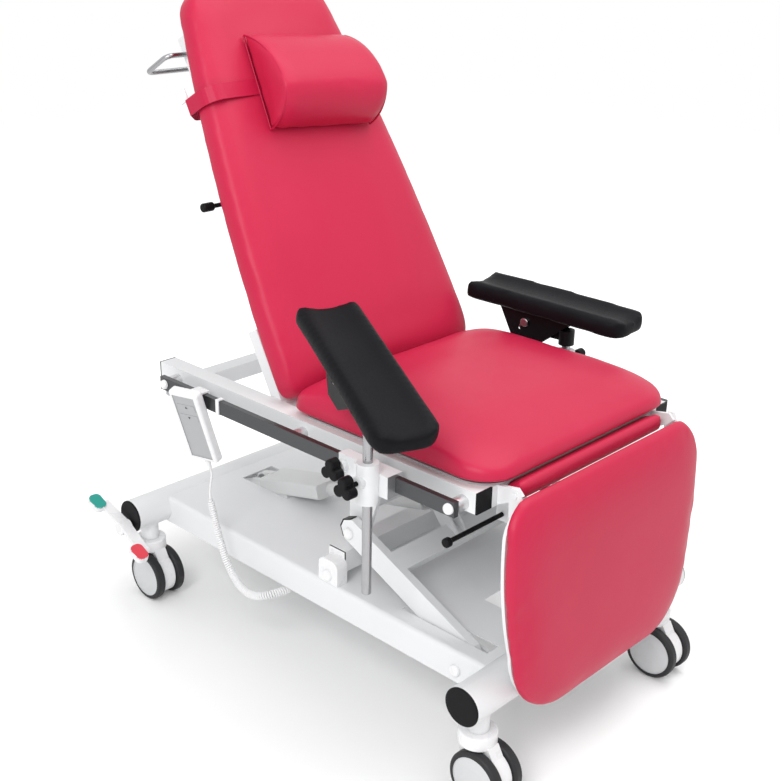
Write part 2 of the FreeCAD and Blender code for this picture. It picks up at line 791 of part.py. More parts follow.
def rest_beam():
    beam = box_tube((-beam_half, beam_half), (beam_foot, beam_foot + beam_depth), (beam_bottom, beam_top),
                    sheet, 0)
    solids = [beam]
    for side in (-1, 1):
        foot = box(sorted((side * (block_inner - plate), side * (block_inner - stop_plate))),
                   (beam_foot, beam_foot + beam_depth), (deck_top + seat_gap / 3, beam_bottom))
        solids.append(foot)
        solids.append(box(sorted((side * beam_half, side * block_inner)), (beam_foot, beam_foot + beam_depth),
                          (deck_top + seat_gap / 3, beam_top)))
        block_body = box(sorted((side * block_inner, side * block_outer)), (block_foot, block_head),
                         (deck_top + seat_gap / 3, block_top))
        shoulder = [e for e in block_body.Edges if e.CenterOfMass.z > block_top - sheet
                    and abs(e.Vertexes[0].X - e.Vertexes[-1].X) > sheet]
        solids.append(block_body.makeFillet(block_round, shoulder))
        y = (block_foot + block_head) / 2
        cap = rod(button_radius, V(side * block_outer, y, deck_top + block_round + sheet),
                  V(side * (block_outer + button_height), y, deck_top + block_round + sheet))
        rim = [e for e in cap.Edges if len(e.Vertexes) == 1 and abs(e.CenterOfMass.x) > block_outer + sheet]
        solids.append(cap.makeFillet(edge_round, rim))
    save("rest_beam", solids)


def lift_drive():
    half = drive_eye_width / 2
    eye = rod(drive_eye_radius, V(drive_x - half, lug_y, lug_z), V(drive_x + half, lug_y, lug_z))
    stem = rod(drive_rod_radius, place(drive_frame, drive_x, 1.75 * drive_eye_radius, 0),
               place(drive_frame, drive_x, drive_rod_length, 0))
    hole = rod(pin_radius + running_fit, V(drive_x - half - overrun, lug_y, lug_z),
               V(drive_x + half + overrun, lug_y, lug_z))
    flat = block(drive_frame, (drive_x - half, drive_x + half), (0, 2 * drive_eye_radius),
                 (-drive_rod_radius, drive_rod_radius))
    save("actuator_rod", [joined([eye, stem, flat]).cut(hole)])
    case = block(drive_frame, (drive_x - drive_case_half, drive_x + drive_case_half),
                 (drive_case_start, drive_case_end), (-drive_case_below, drive_case_above))
    long_edges = [e for e in case.Edges if e.Length > drive_motor_end - drive_case_start]
    case = case.makeFillet(edge_round * 2, long_edges)
    motor = block(drive_frame, (drive_x - drive_motor_half, drive_x + drive_motor_half),
                  (drive_motor_start, drive_motor_end), (-drive_motor_below, 0))
    outer = rod(drive_tube_radius, place(drive_frame, drive_x, drive_tube_start, 0),
                place(drive_frame, drive_x, drive_tube_end, 0))
    tail = block(drive_frame, (drive_x - half, drive_x + half), (drive_case_end - overrun, drive_length),
                 (-drive_play - plate, drive_play + plate))
    ring = rod(drive_play + plate, V(drive_x - half, drive_base_y, drive_base_z),
               V(drive_x + half, drive_base_y, drive_base_z))
    body = joined([case, motor, outer, tail, ring])
    body = body.cut(rod(drive_play + pin_radius - sheet, V(drive_x - half - overrun, drive_base_y, drive_base_z),
                        V(drive_x + half + overrun, drive_base_y, drive_base_z)))
    body = body.cut(rod(drive_rod_radius + running_fit, place(drive_frame, drive_x, drive_tube_start - overrun, 0),
                        place(drive_frame, drive_x, drive_rod_length + sheet, 0)))
    save("actuator_motor", [body])


# Seat frame
def seat_frame():
    pieces = []
    for side in (-1, 1):
        x = sorted((side * frame_inner, side * frame_outer))
        pieces.append(box(x, (frame_foot + end_cap, frame_head - end_cap), (frame_bottom, frame_top)))
    for y, drop in ((front_cross_y, 0), (mid_cross_y, 0), (head_cross_y, head_cross_drop)):
        reach = frame_inner if drop == 0 else frame_outer
        top = frame_top if drop == 0 else frame_bottom
        pieces.append(box((-reach, reach), (y - frame_tube / 2, y + frame_tube / 2),
                          (frame_bottom - drop, top)))
    half = gas_eye_width / 2 + gas_side_gap
    back_of_front = front_cross_y + frame_tube / 2
    for side in (-1, 1):
        inner = leg_gas_x + side * leg_gas_fork
        ear = [(back_of_front - plate, frame_bottom + plate), (back_of_front - plate, frame_bottom - plate),
               (leg_gas_y - plate, leg_gas_z - plate), (leg_gas_y + plate, leg_gas_z - plate),
               (leg_gas_y + plate, leg_gas_z + plate), (back_of_front + plate, frame_bottom + plate)]
        pieces.append(slab(level, ear, inner, inner + side * gas_ear))
        inner = back_gas_x + side * half
        pieces.append(box(sorted((inner, inner + side * gas_ear)), (back_gas_y - plate, back_gas_y + plate),
                          (back_gas_z - plate, frame_bottom + plate)))
    pieces.append(rod(gas_rod_radius, V(leg_gas_x - leg_gas_fork - gas_ear, leg_gas_y, leg_gas_z),
                      V(leg_gas_x + leg_gas_fork + gas_ear, leg_gas_y, leg_gas_z)))
    pieces.append(rod(gas_rod_radius, V(back_gas_x - half - gas_ear, back_gas_y, back_gas_z),
                      V(back_gas_x + half + gas_ear, back_gas_y, back_gas_z)))
    pieces.append(box((back_gas_x - half - gas_ear, frame_inner + sheet),
                      (back_gas_y - bracket_reach, back_gas_y + bracket_reach),
                      (frame_bottom, frame_bottom + plate)))
    for side in (-1, 1):
        hinge_ear = box(sorted((side * (back_knuckle_outer + seat_gap), side * frame_inner)),
                        (back_hinge_y - back_knuckle_radius, back_hinge_y + back_knuckle_radius),
                        (frame_bottom, frame_top))
        pieces.append(hinge_ear)
        pieces.append(rod(pin_radius, V(side * back_knuckle_inner, back_hinge_y, back_hinge_z),
                          V(side * frame_inner, back_hinge_y, back_hinge_z)))
        foot_face = front_cross_y - frame_tube / 2
        lug = [(foot_face + sheet, frame_bottom), (foot_face + sheet, frame_top - sheet),
               (leg_hinge_y, leg_hinge_z + 2 * pin_radius), (leg_hinge_y - 2 * pin_radius, leg_hinge_z),
               (leg_hinge_y, leg_hinge_z - 2 * pin_radius)]
        pieces.append(slab(level, lug, side * leg_lug_inner, side * leg_lug_outer))
        pieces.append(rod(pin_radius, V(side * leg_lug_inner, leg_hinge_y, leg_hinge_z),
                          V(side * (leg_arm_outer + sheet), leg_hinge_y, leg_hinge_z)))
    hanger_x = leg_lever_inner - 3 * plate
    pieces.append(box((hanger_x, hanger_x + plate), (back_of_front - plate, leg_lever_y + 2 * plate),
                      (leg_lever_z - 2 * plate, frame_bottom + sheet)))
    frame = joined(pieces)
    frame = frame.cut(rod(lever_rod + running_fit, V(hanger_x - overrun, leg_lever_y, leg_lever_z),
                          V(hanger_x + 2 * plate, leg_lever_y, leg_lever_z)))
    for side in (-1, 1):
        x = sorted((side * (frame_inner + frame_wall), side * (frame_outer - frame_wall)))
        frame = frame.cut(box(x, (frame_foot, frame_head), (frame_bottom + frame_wall, frame_top - frame_wall)))
    for y, drop, reach in ((front_cross_y, 0, frame_inner + 2 * frame_wall),
                           (mid_cross_y, 0, frame_inner + 2 * frame_wall),
                           (head_cross_y, frame_tube, frame_outer + overrun)):
        half = frame_tube / 2 - frame_wall
        low = frame_bottom - drop + frame_wall + (frame_tube - head_cross_drop) * (drop > 0)
        high = frame_top - drop - frame_wall
        frame = frame.cut(box((-reach, reach), (y - half, y + half), (low, high)))
    save("seat_frame", [frame])


def seat_frame_caps():
    caps = []
    for side in (-1, 1):
        for y in ((frame_foot, frame_foot + end_cap), (frame_head - end_cap, frame_head)):
            x = sorted((side * frame_inner, side * frame_outer))
            caps.append(box(x, y, (frame_bottom, frame_top)))
    save("seat_frame_caps", caps)


def side_rails():
    z = (rail_centre - rail_height / 2, rail_centre + rail_height / 2)
    save("side_rails", both(box((rail_outer - rail_thick, rail_outer), (rail_foot, rail_head), z)))


def rail_fixings():
    solids = []
    inner = rail_outer - rail_thick
    for y in spacer_stations:
        spacer = rod(spacer_radius, V(frame_outer, y, rail_centre), V(inner, y, rail_centre))
        solids += both(spacer)
    for y in (spacer_stations[0], spacer_stations[-1]):
        dome = rod(dome_radius, V(rail_outer, y, rail_centre), V(rail_outer + dome_height, y, rail_centre))
        rim = [e for e in dome.Edges if len(e.Vertexes) == 1 and e.CenterOfMass.x > rail_outer + sheet]
        solids += both(dome.makeFillet(dome_height - sheet, rim))
    half = rail_height / 2
    span = (clip_y - clip_width / 2, clip_y + clip_width / 2)
    clip = box((-rail_outer - sheet, -inner + sheet), span, (rail_centre - half - sheet, rail_centre + half + sheet))
    solids.append(clip.cut(box((-rail_outer, -inner), (rail_foot, rail_head), (rail_centre - half, rail_centre + half))))
    save("rail_fixings", solids)


# Upholstery
def outline_wire(frame, outline, inset, n):
    s0, s1, w0, wm, w1, r0, r1 = outline
    s0, s1, w0, wm, w1 = s0 + inset, s1 - inset, w0 - inset, wm - inset, w1 - inset
    r0 = max(r0 * corner_keep_share, r0 - inset / 2)
    r1 = max(r1 * corner_keep_share, r1 - inset / 2)
    bend = 1 - math.sqrt(0.5)

    def p(x, s):
        return place(frame, x, s, n)

    def side(sign):
        a = p(sign * w0, s0 + r0)
        b = p(sign * w1, s1 - r1)
        if abs(wm - (w0 + w1) / 2) < running_fit:
            return Part.LineSegment(a, b) if sign > 0 else Part.LineSegment(b, a)
        m = p(sign * wm, (s0 + r0 + s1 - r1) / 2)
        return Part.Arc(a, m, b) if sign > 0 else Part.Arc(b, m, a)

    edges = [
        Part.LineSegment(p(-w0 + r0, s0), p(w0 - r0, s0)),
        Part.Arc(p(w0 - r0, s0), p(w0 - r0 * bend, s0 + r0 * bend), p(w0, s0 + r0)),
        side(1),
        Part.Arc(p(w1, s1 - r1), p(w1 - r1 * bend, s1 - r1 * bend), p(w1 - r1, s1)),
        Part.LineSegment(p(w1 - r1, s1), p(-w1 + r1, s1)),
        Part.Arc(p(-w1 + r1, s1), p(-w1 + r1 * bend, s1 - r1 * bend), p(-w1, s1 - r1)),
        side(-1),
        Part.Arc(p(-w0, s0 + r0), p(-w0 + r0 * bend, s0 + r0 * bend), p(-w0 + r0, s0)),
    ]
    return Part.Wire([e.toShape() for e in edges])


def cushion(frame, outline, thick, base, sign):
    wires = []
    for inset_share, height_share in zip(cushion_inset_shares, cushion_height_shares):
        wires.append(outline_wire(frame, outline, inset_share * thick, base + sign * height_share * thick))
    return Part.makeLoft(wires, True, False)


def prism(frame, outline, inset, low, high):
    face = Part.Face(outline_wire(frame, outline, inset, low))
    return face.extrude(place(frame, 0, 0, high) - place(frame, 0, 0, low))


seat_outline = (seat_foot, seat_back, seat_half, seat_half, seat_half, seat_front_radius, seat_rear_radius)
back_outline = (back_start, back_end, back_low_half, back_mid_half, back_high_half,
                back_low_radius, back_high_radius)
leg_outline = (leg_start, leg_end, leg_half, leg_half, leg_low_half, leg_high_radius, leg_low_radius)


def seat_upholstery():
    pan = prism(seat_frame_level, seat_outline, seat_pan_thick * 4, -seat_pan_thick, 0)
    save("seat_pan", [pan])
    save("seat_cushion", [cushion(seat_frame_level, seat_outline, seat_thick, seat_gap / 3, 1)])
    lip = box((-roll_half, roll_half), (roll_front, roll_lip), (roll_low, roll_high))
    front = [e for e in lip.Edges if e.CenterOfMass.y < roll_front + sheet]
    lip = lip.makeFillet((roll_lip - roll_front) / 2, front)
    tail = box((-roll_half, roll_half), (roll_lip - sheet, roll_back), (roll_low, frame_top - seat_gap))
    save("front_roll", [joined([lip, tail])])


def strap_band():
    low = strap_station - strap_width / 2
    half = strap_half
    front = back_front + seat_gap
    rear = back_front - back_thick - back_board_thick - back_tube - seat_gap
    outer = block(back_frame, (-half - strap_thick, half + strap_thick), (low, low + strap_width),
                  (rear - strap_thick, front + strap_thick))
    inner = block(back_frame, (-half, half), (low - overrun, low + strap_width + overrun), (rear, front))
    return outer.cut(inner)


def back_rest():
    rear = back_front - back_thick
    board = prism(back_frame, back_outline, back_board_inset, rear - back_board_thick, rear)
    save("back_board", [board])
    save("back_cushion", [cushion(back_frame, back_outline, back_thick, rear + seat_gap / 3, 1)])
    top = rear - back_board_thick
    pieces = []
    for side in (-1, 1):
        x = sorted((side * (back_tube_outer - back_tube), side * back_tube_outer))
        pieces.append(block(back_frame, x, (back_knuckle_radius, back_tube_end), (top - back_tube, top)))
        arm_x = sorted((side * back_knuckle_inner, side * back_knuckle_outer))
        pieces.append(block(back_frame, arm_x, (0, back_cross_stations[0] + back_tube), (-back_knuckle_radius, top)))
        pieces.append(rod(back_knuckle_radius, V(side * back_knuckle_inner, back_hinge_y, back_hinge_z),
                          V(side * back_knuckle_outer, back_hinge_y, back_hinge_z)))
    for s in back_cross_stations:
        reach = back_knuckle_outer if s == back_cross_stations[0] else back_tube_outer
        pieces.append(block(back_frame, (-reach, reach), (s, s + back_tube), (top - back_tube, top)))
    tail = [(-back_knuckle_radius, back_knuckle_radius / 2), (back_knuckle_radius, -back_knuckle_radius / 2),
            (back_gas_s + plate, back_gas_n - plate), (back_gas_s - plate, back_gas_n)]
    pieces.append(slab(back_frame, tail, back_knuckle_inner, back_knuckle_outer))
    pieces.append(rod(gas_rod_radius, place(back_frame, back_gas_x - gas_eye_width / 2 - sheet, back_gas_s, back_gas_n),
                      place(back_frame, back_knuckle_outer, back_gas_s, back_gas_n)))
    for side in (-1, 1):
        pieces.append(rod(back_knuckle_radius - sheet, V(0, back_hinge_y, back_hinge_z),
                          V(side * back_knuckle_inner, back_hinge_y, back_hinge_z)))
    boss_x = sorted((-back_tube_outer, -back_tube_outer - gas_ear))
    pieces.append(block(back_frame, boss_x, (back_lever_station - 2 * plate, back_lever_station + 2 * plate),
                        (top - back_tube, top)))
    frame = joined(pieces)
    for side in (-1, 1):
        frame = frame.cut(rod(pin_radius + running_fit, V(side * (back_knuckle_inner - sheet), back_hinge_y, back_hinge_z),
                              V(side * (back_knuckle_outer + overrun), back_hinge_y, back_hinge_z)))
    lever_n = top - back_tube / 2
    bore = rod(lever_rod + running_fit, place(back_frame, -back_tube_outer - 2 * gas_ear, back_lever_station, lever_n),
               place(back_frame, -back_tube_outer + back_tube + gas_ear, back_lever_station, lever_n))
    save("back_frame", [frame.cut(bore)])


def push_handle():
    corners = [(-back_tube_outer, handle_root), (-handle_outer, handle_root), (-handle_outer, handle_rear),
               (handle_outer, handle_rear), (handle_outer, handle_root), (back_tube_outer, handle_root)]
    points = [place(back_frame, x, handle_station, n) for x, n in corners]
    bend = handle_bend
    edges = []
    last = points[0]
    for i in range(1, len(points) - 1):
        a = points[i] - points[i - 1]
        b = points[i + 1] - points[i]
        a.normalize()
        b.normalize()
        start = points[i] - a * bend
        end = points[i] + b * bend
        bisector = b - a
        bisector.normalize()
        middle = points[i] + bisector * (bend * math.tan(math.pi / 8))
        edges.append(Part.LineSegment(last, start).toShape())
        edges.append(Part.Arc(start, middle, end).toShape())
        last = end
    edges.append(Part.LineSegment(last, points[-1]).toShape())
    ring = Part.Wire(Part.makeCircle(handle_rod, points[0], points[1] - points[0]))
    save("push_handle", [Part.Wire(edges).makePipeShell([ring], True, False)])


def back_lever():
    top = back_front - back_thick - back_board_thick
    n = top - back_tube / 2
    inner = place(back_frame, -back_tube_outer + back_tube, back_lever_station, n)
    outer = place(back_frame, -back_lever_x + lever_knob_length, back_lever_station, n)
    knob_end = place(back_frame, -back_lever_x, back_lever_station, n)
    knob = rod(lever_knob_radius, knob_end, outer)
    knob = knob.makeFillet(edge_round, [e for e in knob.Edges if len(e.Vertexes) == 1])
    save("back_lever", [rod(lever_rod, inner, outer), knob])


def gas_spring(name, x, base, tip, play, stroke, body_share):
    y0, z0 = base
    y1, z1 = tip
    frame = (y0, z0, math.degrees(math.atan2(z1 - z0, y1 - y0)))
    length = math.hypot(y1 - y0, z1 - z0)
    half = gas_eye_width / 2
    body_start = 2 * gas_eye_radius
    body_end = length * body_share
    eye = rod(gas_eye_radius, V(x - half, y0, z0), V(x + half, y0, z0))
    stem = rod(gas_rod_radius, place(frame, x, gas_eye_radius / 2, 0), place(frame, x, body_start + sheet, 0))
    body = rod(gas_radius, place(frame, x, body_start, 0), place(frame, x, body_end, 0))
    cylinder = joined([eye, stem, body])
    cylinder = cylinder.cut(rod(gas_rod_radius + running_fit, V(x - half - overrun, y0, z0),
                                V(x + half + overrun, y0, z0)))
    cylinder = cylinder.cut(rod(gas_rod_radius + running_fit, place(frame, x, body_start + 2 * plate, 0),
                                place(frame, x, body_end + overrun, 0)))
    save(name + "_gas_cylinder", [cylinder])
    ring = gas_rod_radius + play + plate / 2
    far_eye = rod(ring, V(x - half, y1, z1), V(x + half, y1, z1))
    hole = rod(gas_rod_radius + play, V(x - half - overrun, y1, z1), V(x + half + overrun, y1, z1))
    piston = rod(gas_rod_radius, place(frame, x, body_start + 2 * plate + sheet + stroke, 0),
                 place(frame, x, length - gas_rod_radius - play - sheet, 0))
    save(name + "_gas_rod", [joined([piston, far_eye.cut(hole)])])


# Legrest
def leg_rest():
    front = -leg_front
    rear = front + leg_thick
    board = prism(leg_frame, leg_outline, leg_board_inset, rear, rear + leg_board_thick)
    back_n = rear + leg_board_thick
    pieces = [board]
    for side in (-1, 1):
        x = (side * (leg_lug_outer + seat_gap), side * leg_arm_outer)
        r = leg_arm_radius
        arm = [(-r, -r / 2), (-r, r / 2), (0, r), (3 * r, r), (leg_arm_length, back_n + plate),
               (leg_arm_length, back_n - sheet), (r, back_n - sheet), (r / 2, -r)]
        pieces.append(slab(leg_frame, arm, x[0], x[1]))
    half = gas_eye_width / 2 + gas_side_gap
    ear_foot = leg_gas_s + 2 * gas_eye_radius
    for side in (-1, 1):
        inner = leg_gas_x + side * half
        ear = [(leg_gas_s - gas_eye_radius, leg_gas_n + plate), (leg_gas_s - gas_eye_radius, back_n - sheet),
               (ear_foot, back_n - sheet), (leg_gas_s + gas_eye_radius, leg_gas_n + plate)]
        pieces.append(slab(leg_frame, ear, inner, inner + side * gas_ear))
    pieces.append(rod(gas_rod_radius, place(leg_frame, leg_gas_x - half - gas_ear, leg_gas_s, leg_gas_n),
                      place(leg_frame, leg_gas_x + half + gas_ear, leg_gas_s, leg_gas_n)))
    backing = joined(pieces)
    for side in (-1, 1):
        backing = backing.cut(rod(pin_radius + running_fit, V(side * leg_lug_outer, leg_hinge_y, leg_hinge_z),
                                  V(side * (leg_arm_outer + overrun), leg_hinge_y, leg_hinge_z)))
    save("leg_backing", [backing])
    save("leg_cushion", [cushion(leg_frame, leg_outline, leg_thick, rear - seat_gap / 3, -1)])


def leg_lever():
    outer = V(leg_lever_outer + lever_knob_length / 2, leg_lever_y, leg_lever_z)
    inner = V(leg_lever_inner, leg_lever_y, leg_lever_z)
    knob = rod(lever_knob_radius, V(leg_lever_outer, leg_lever_y, leg_lever_z), outer)
    knob = knob.makeFillet(edge_round, [e for e in knob.Edges if len(e.Vertexes) == 1])
    save("leg_lever", [rod(lever_rod, outer, inner), knob])


# Headrest
def headrest():
    n0 = back_front + seat_gap + strap_thick + seat_gap
    low, high, proud = headrest_low, headrest_high, headrest_proud
    middle = (low + high) / 2
    peak = low + (high - low) * headrest_low_share
    spin = math.radians(headrest_turn)

    def spot(x, s, n):
        dx = x * math.cos(spin) + (middle - s) * math.sin(spin)
        ds = x * math.sin(spin) + (s - middle) * math.cos(spin)
        return place(back_frame, headrest_shift + dx, middle + ds, n)

    wires = []
    for x, shrink in ((-headrest_half, 1), (-headrest_half + headrest_side, 0),
                      (headrest_half - headrest_side, 0), (headrest_half, 1)):
        d = shrink * headrest_side / 4
        a = spot(x, low + d, n0)
        b = spot(x, peak, n0 + proud - d)
        c = spot(x, high - d, n0)
        before = spot(x, low + (peak - low) * 0.25 + d, n0 + proud * 0.62 - d)
        after = spot(x, peak + (high - peak) * 0.55, n0 + proud * 0.74 - d)
        edges = [Part.Arc(a, before, b), Part.Arc(b, after, c), Part.LineSegment(c, a)]
        wires.append(Part.Wire([g.toShape() for g in edges]))
    save("headrest_cushion", [Part.makeLoft(wires, True, True)])
    band = strap_band()
    buckle_n = back_front - back_thick - buckle_size / 2
    half = strap_half + strap_thick
    buckle = block(back_frame, (-half - buckle_thick, -half), (strap_station - buckle_size / 2,
                   strap_station + buckle_size / 2), (buckle_n - buckle_size / 2, buckle_n + buckle_size / 2))
    save("headrest_strap", [band, buckle])


# Armrests
def knob(x_inner, x_outer, y, z):
    pieces = [rod(knob_lobe_centre, V(x_inner, y, z), V(x_outer, y, z))]
    for i in range(3):
        a = math.radians(90 + 120 * i)
        dy = knob_lobe_centre * math.cos(a)
        dz = knob_lobe_centre * math.sin(a)
        pieces.append(rod(knob_lobe_radius, V(x_inner, y + dy, z + dz), V(x_outer, y + dy, z + dz)))
    body = joined(pieces)
    outer = [e for e in body.Edges if abs(e.CenterOfMass.x - x_outer) < sheet]
    return body.makeFillet(edge_round, outer)


def armrest(name, side, pole_y, bolt_z, yaw, tilt, shift):
    turn = FreeCAD.Rotation(V(0, 0, 1), yaw)
    pole_top = bolt_z + head_bar_high
    bolt = V(side * pole_x, pole_y, bolt_z) + turn.multVec(V(0, head_reach, 0))
    lean = turn.multiply(FreeCAD.Rotation(V(1, 0, 0), tilt))
    pad_spot = FreeCAD.Placement(bolt, lean)
    head_spot = FreeCAD.Placement(V(side * pole_x, pole_y, bolt_z), turn)

    rim = arm_pad_rim
    half = arm_pad_half
    top = arm_pad_thick
    y0 = arm_pad_centre - arm_pad_length / 2

    def at(x, z):
        return V(x, y0, z)

    profile = [
        Part.LineSegment(at(-half + rim, 0), at(half - rim, 0)),
        Part.Arc(at(half - rim, 0), at(half - rim * 0.3, rim * 0.3), at(half, rim)),
        Part.LineSegment(at(half, rim), at(half, top - rim)),
        Part.Arc(at(half, top - rim), at(half - rim * 0.4, top - rim * 0.15), at(half - rim * 1.3, top)),
        Part.Arc(at(half - rim * 1.3, top), at(0, top - arm_pad_dish), at(-half + rim * 1.3, top)),
        Part.Arc(at(-half + rim * 1.3, top), at(-half + rim * 0.4, top - rim * 0.15), at(-half, top - rim)),
        Part.LineSegment(at(-half, top - rim), at(-half, rim)),
        Part.Arc(at(-half, rim), at(-half + rim * 0.3, rim * 0.3), at(-half + rim, 0)),
    ]
    trough = Part.Face(Part.Wire([e.toShape() for e in profile])).extrude(V(0, arm_pad_length, 0))
    plan = (y0, y0 + arm_pad_length, half + sheet, half + sheet, half + sheet,
            arm_pad_foot_radius, arm_pad_head_radius)
    block_plan = prism(level, plan, sheet, -overrun, top + overrun)
    pad = trough.common(block_plan).translated(V(shift, 0, arm_pad_bottom + seat_gap / 3))
    pad.Placement = pad_spot.multiply(pad.Placement)
    save(name + "_pad", [pad])

    channel = [box((-bracket_half - abs(shift), bracket_half + abs(shift)), (bracket_top_foot, bracket_top_head),
                   (arm_pad_bottom - bracket_sheet, arm_pad_bottom))]
    for face in (-1, 1):
        corners = [V(face * (bracket_half - bracket_sheet / 2), y, z) for y, z in (
            (bracket_top_foot, arm_pad_bottom), (bracket_top_head, arm_pad_bottom),
            (bracket_low_head, bracket_low), (bracket_low_foot, bracket_low))]
        side_plate = Part.Face(Part.makePolygon(corners + corners[:1])).extrude(V(face * bracket_sheet, 0, 0))
        hole = rod(bracket_hole_radius, V(face * bracket_half / 2, bracket_hole_y, bracket_hole_z),
                   V(face * 2 * bracket_half, bracket_hole_y, bracket_hole_z))
        channel.append(side_plate.cut(hole))
    outer = bracket_half + bracket_sheet
    channel.append(rod(tilt_pin_radius, V(-outer, 0, 0), V(outer, 0, 0)))
    for face in (-1, 1):
        dome = rod(tilt_head_radius, V(face * (outer - bracket_sheet / 2), 0, 0),
                   V(face * (outer + tilt_head_height), 0, 0))
        ring = [e for e in dome.Edges if len(e.Vertexes) == 1 and abs(e.CenterOfMass.x) > outer]
        channel.append(dome.makeFillet(sheet, ring))
    bracket = joined(channel)
    bracket.Placement = pad_spot.multiply(bracket.Placement)
    save(name + "_bracket", [bracket])

    collar = rod(head_collar_radius, V(0, 0, head_collar_low), V(0, 0, head_collar_high))
    bar = box((-head_bar_half, head_bar_half), (0, head_reach), (head_bar_low, head_bar_high))
    boss_half = bracket_half - bracket_sheet / 2 - seat_gap
    boss = rod(head_boss_radius, V(-boss_half, head_reach, 0), V(boss_half, head_reach, 0))
    rise = box((-head_bar_half, head_bar_half), (head_reach - head_boss_radius, head_reach + head_boss_radius),
               (head_bar_low, 0))
    head = joined([collar, bar, boss, rise])
    head = head.cut(rod(pole_radius + running_fit, V(0, 0, head_collar_low - overrun),
                        V(0, 0, head_bar_high + running_fit)))
    head = head.cut(rod(tilt_pin_radius + running_fit, V(-2 * bracket_half, head_reach, 0),
                        V(2 * bracket_half, head_reach, 0)))
    head.Placement = head_spot.multiply(head.Placement)
    save(name + "_head", [head])

    pole = rod(pole_radius, V(side * pole_x, pole_y, pole_top - pole_length), V(side * pole_x, pole_y, pole_top))
    foot = [e for e in pole.Edges if len(e.Vertexes) == 1 and e.CenterOfMass.z < pole_top - overrun]
    save(name + "_pole", [pole.makeFillet(sheet, foot)])

    rail_z = (rail_centre - rail_height / 2 - seat_gap, rail_centre + rail_height / 2 + seat_gap)
    rail_in = rail_outer - rail_thick - seat_gap
    jaw_x = (rail_in - jaw_lip, pole_x - sleeve_radius / 2)
    jaw = box(jaw_x, (pole_y - jaw_foot, pole_y + jaw_head), (rail_z[0] - jaw_wall, rail_z[1] + jaw_wall))
    step_x = (rail_in - jaw_lip, rail_outer + seat_gap + jaw_wall)
    step = box(step_x, (pole_y + jaw_head, pole_y + jaw_step), (rail_z[0] - jaw_wall, rail_z[1] + jaw_wall))
    stud_boss = rod(stud_boss_radius, V(step_x[1] - sheet, pole_y + rail_knob_offset, rail_centre),
                    V(rail_knob_x - knob_thick / 2 - plate, pole_y + rail_knob_offset, rail_centre))
    sleeve = rod(sleeve_radius, V(pole_x, pole_y, sleeve_low), V(pole_x, pole_y, sleeve_high))
    screw_boss = rod(stud_boss_radius, V(pole_x, pole_y, pole_knob_z),
                     V(pole_x + sleeve_radius + plate, pole_y, pole_knob_z))
    clamp = joined([jaw, step, stud_boss, sleeve, screw_boss])
    cuts = [box((rail_in, rail_outer + seat_gap), (pole_y - jaw_foot - overrun, pole_y + jaw_step + overrun), rail_z),
            box((rail_in - jaw_lip - overrun, rail_outer),
                (pole_y - jaw_foot - overrun, pole_y + jaw_step + overrun),
                (rail_z[0] + jaw_lip, rail_z[1] - jaw_lip)),
            rod(pole_radius + running_fit, V(pole_x, pole_y, sleeve_low - overrun),
                V(pole_x, pole_y, sleeve_high + overrun)),
            rod(knob_stud + running_fit, V(pole_x, pole_y, pole_knob_z), V(pole_knob_x, pole_y, pole_knob_z)),
            rod(knob_stud + running_fit, V(rail_outer, pole_y + rail_knob_offset, rail_centre),
                V(rail_knob_x, pole_y + rail_knob_offset, rail_centre))]
    for cut in cuts:
        clamp = clamp.cut(cut)
    knobs = {}
    for kind, x, y, z, tip in (("pole", pole_knob_x, pole_y, pole_knob_z, pole_x + pole_radius + seat_gap),
                               ("rail", rail_knob_x, pole_y + rail_knob_offset, rail_centre,
                                rail_outer + seat_gap)):
        grip = knob(x - knob_thick / 2, x + knob_thick / 2, y, z)
        stud = rod(knob_stud, V(tip, y, z), V(x - knob_thick / 2 + sheet, y, z))
        knobs[kind] = joined([grip, stud])
    if side < 0:
        clamp = mirrored(clamp)
        knobs = {kind: mirrored(shape) for kind, shape in knobs.items()}
    save(name + "_clamp", [clamp])
    save(name + "_pole_knob", [knobs["pole"]])
    save(name + "_rail_knob", [knobs["rail"]])


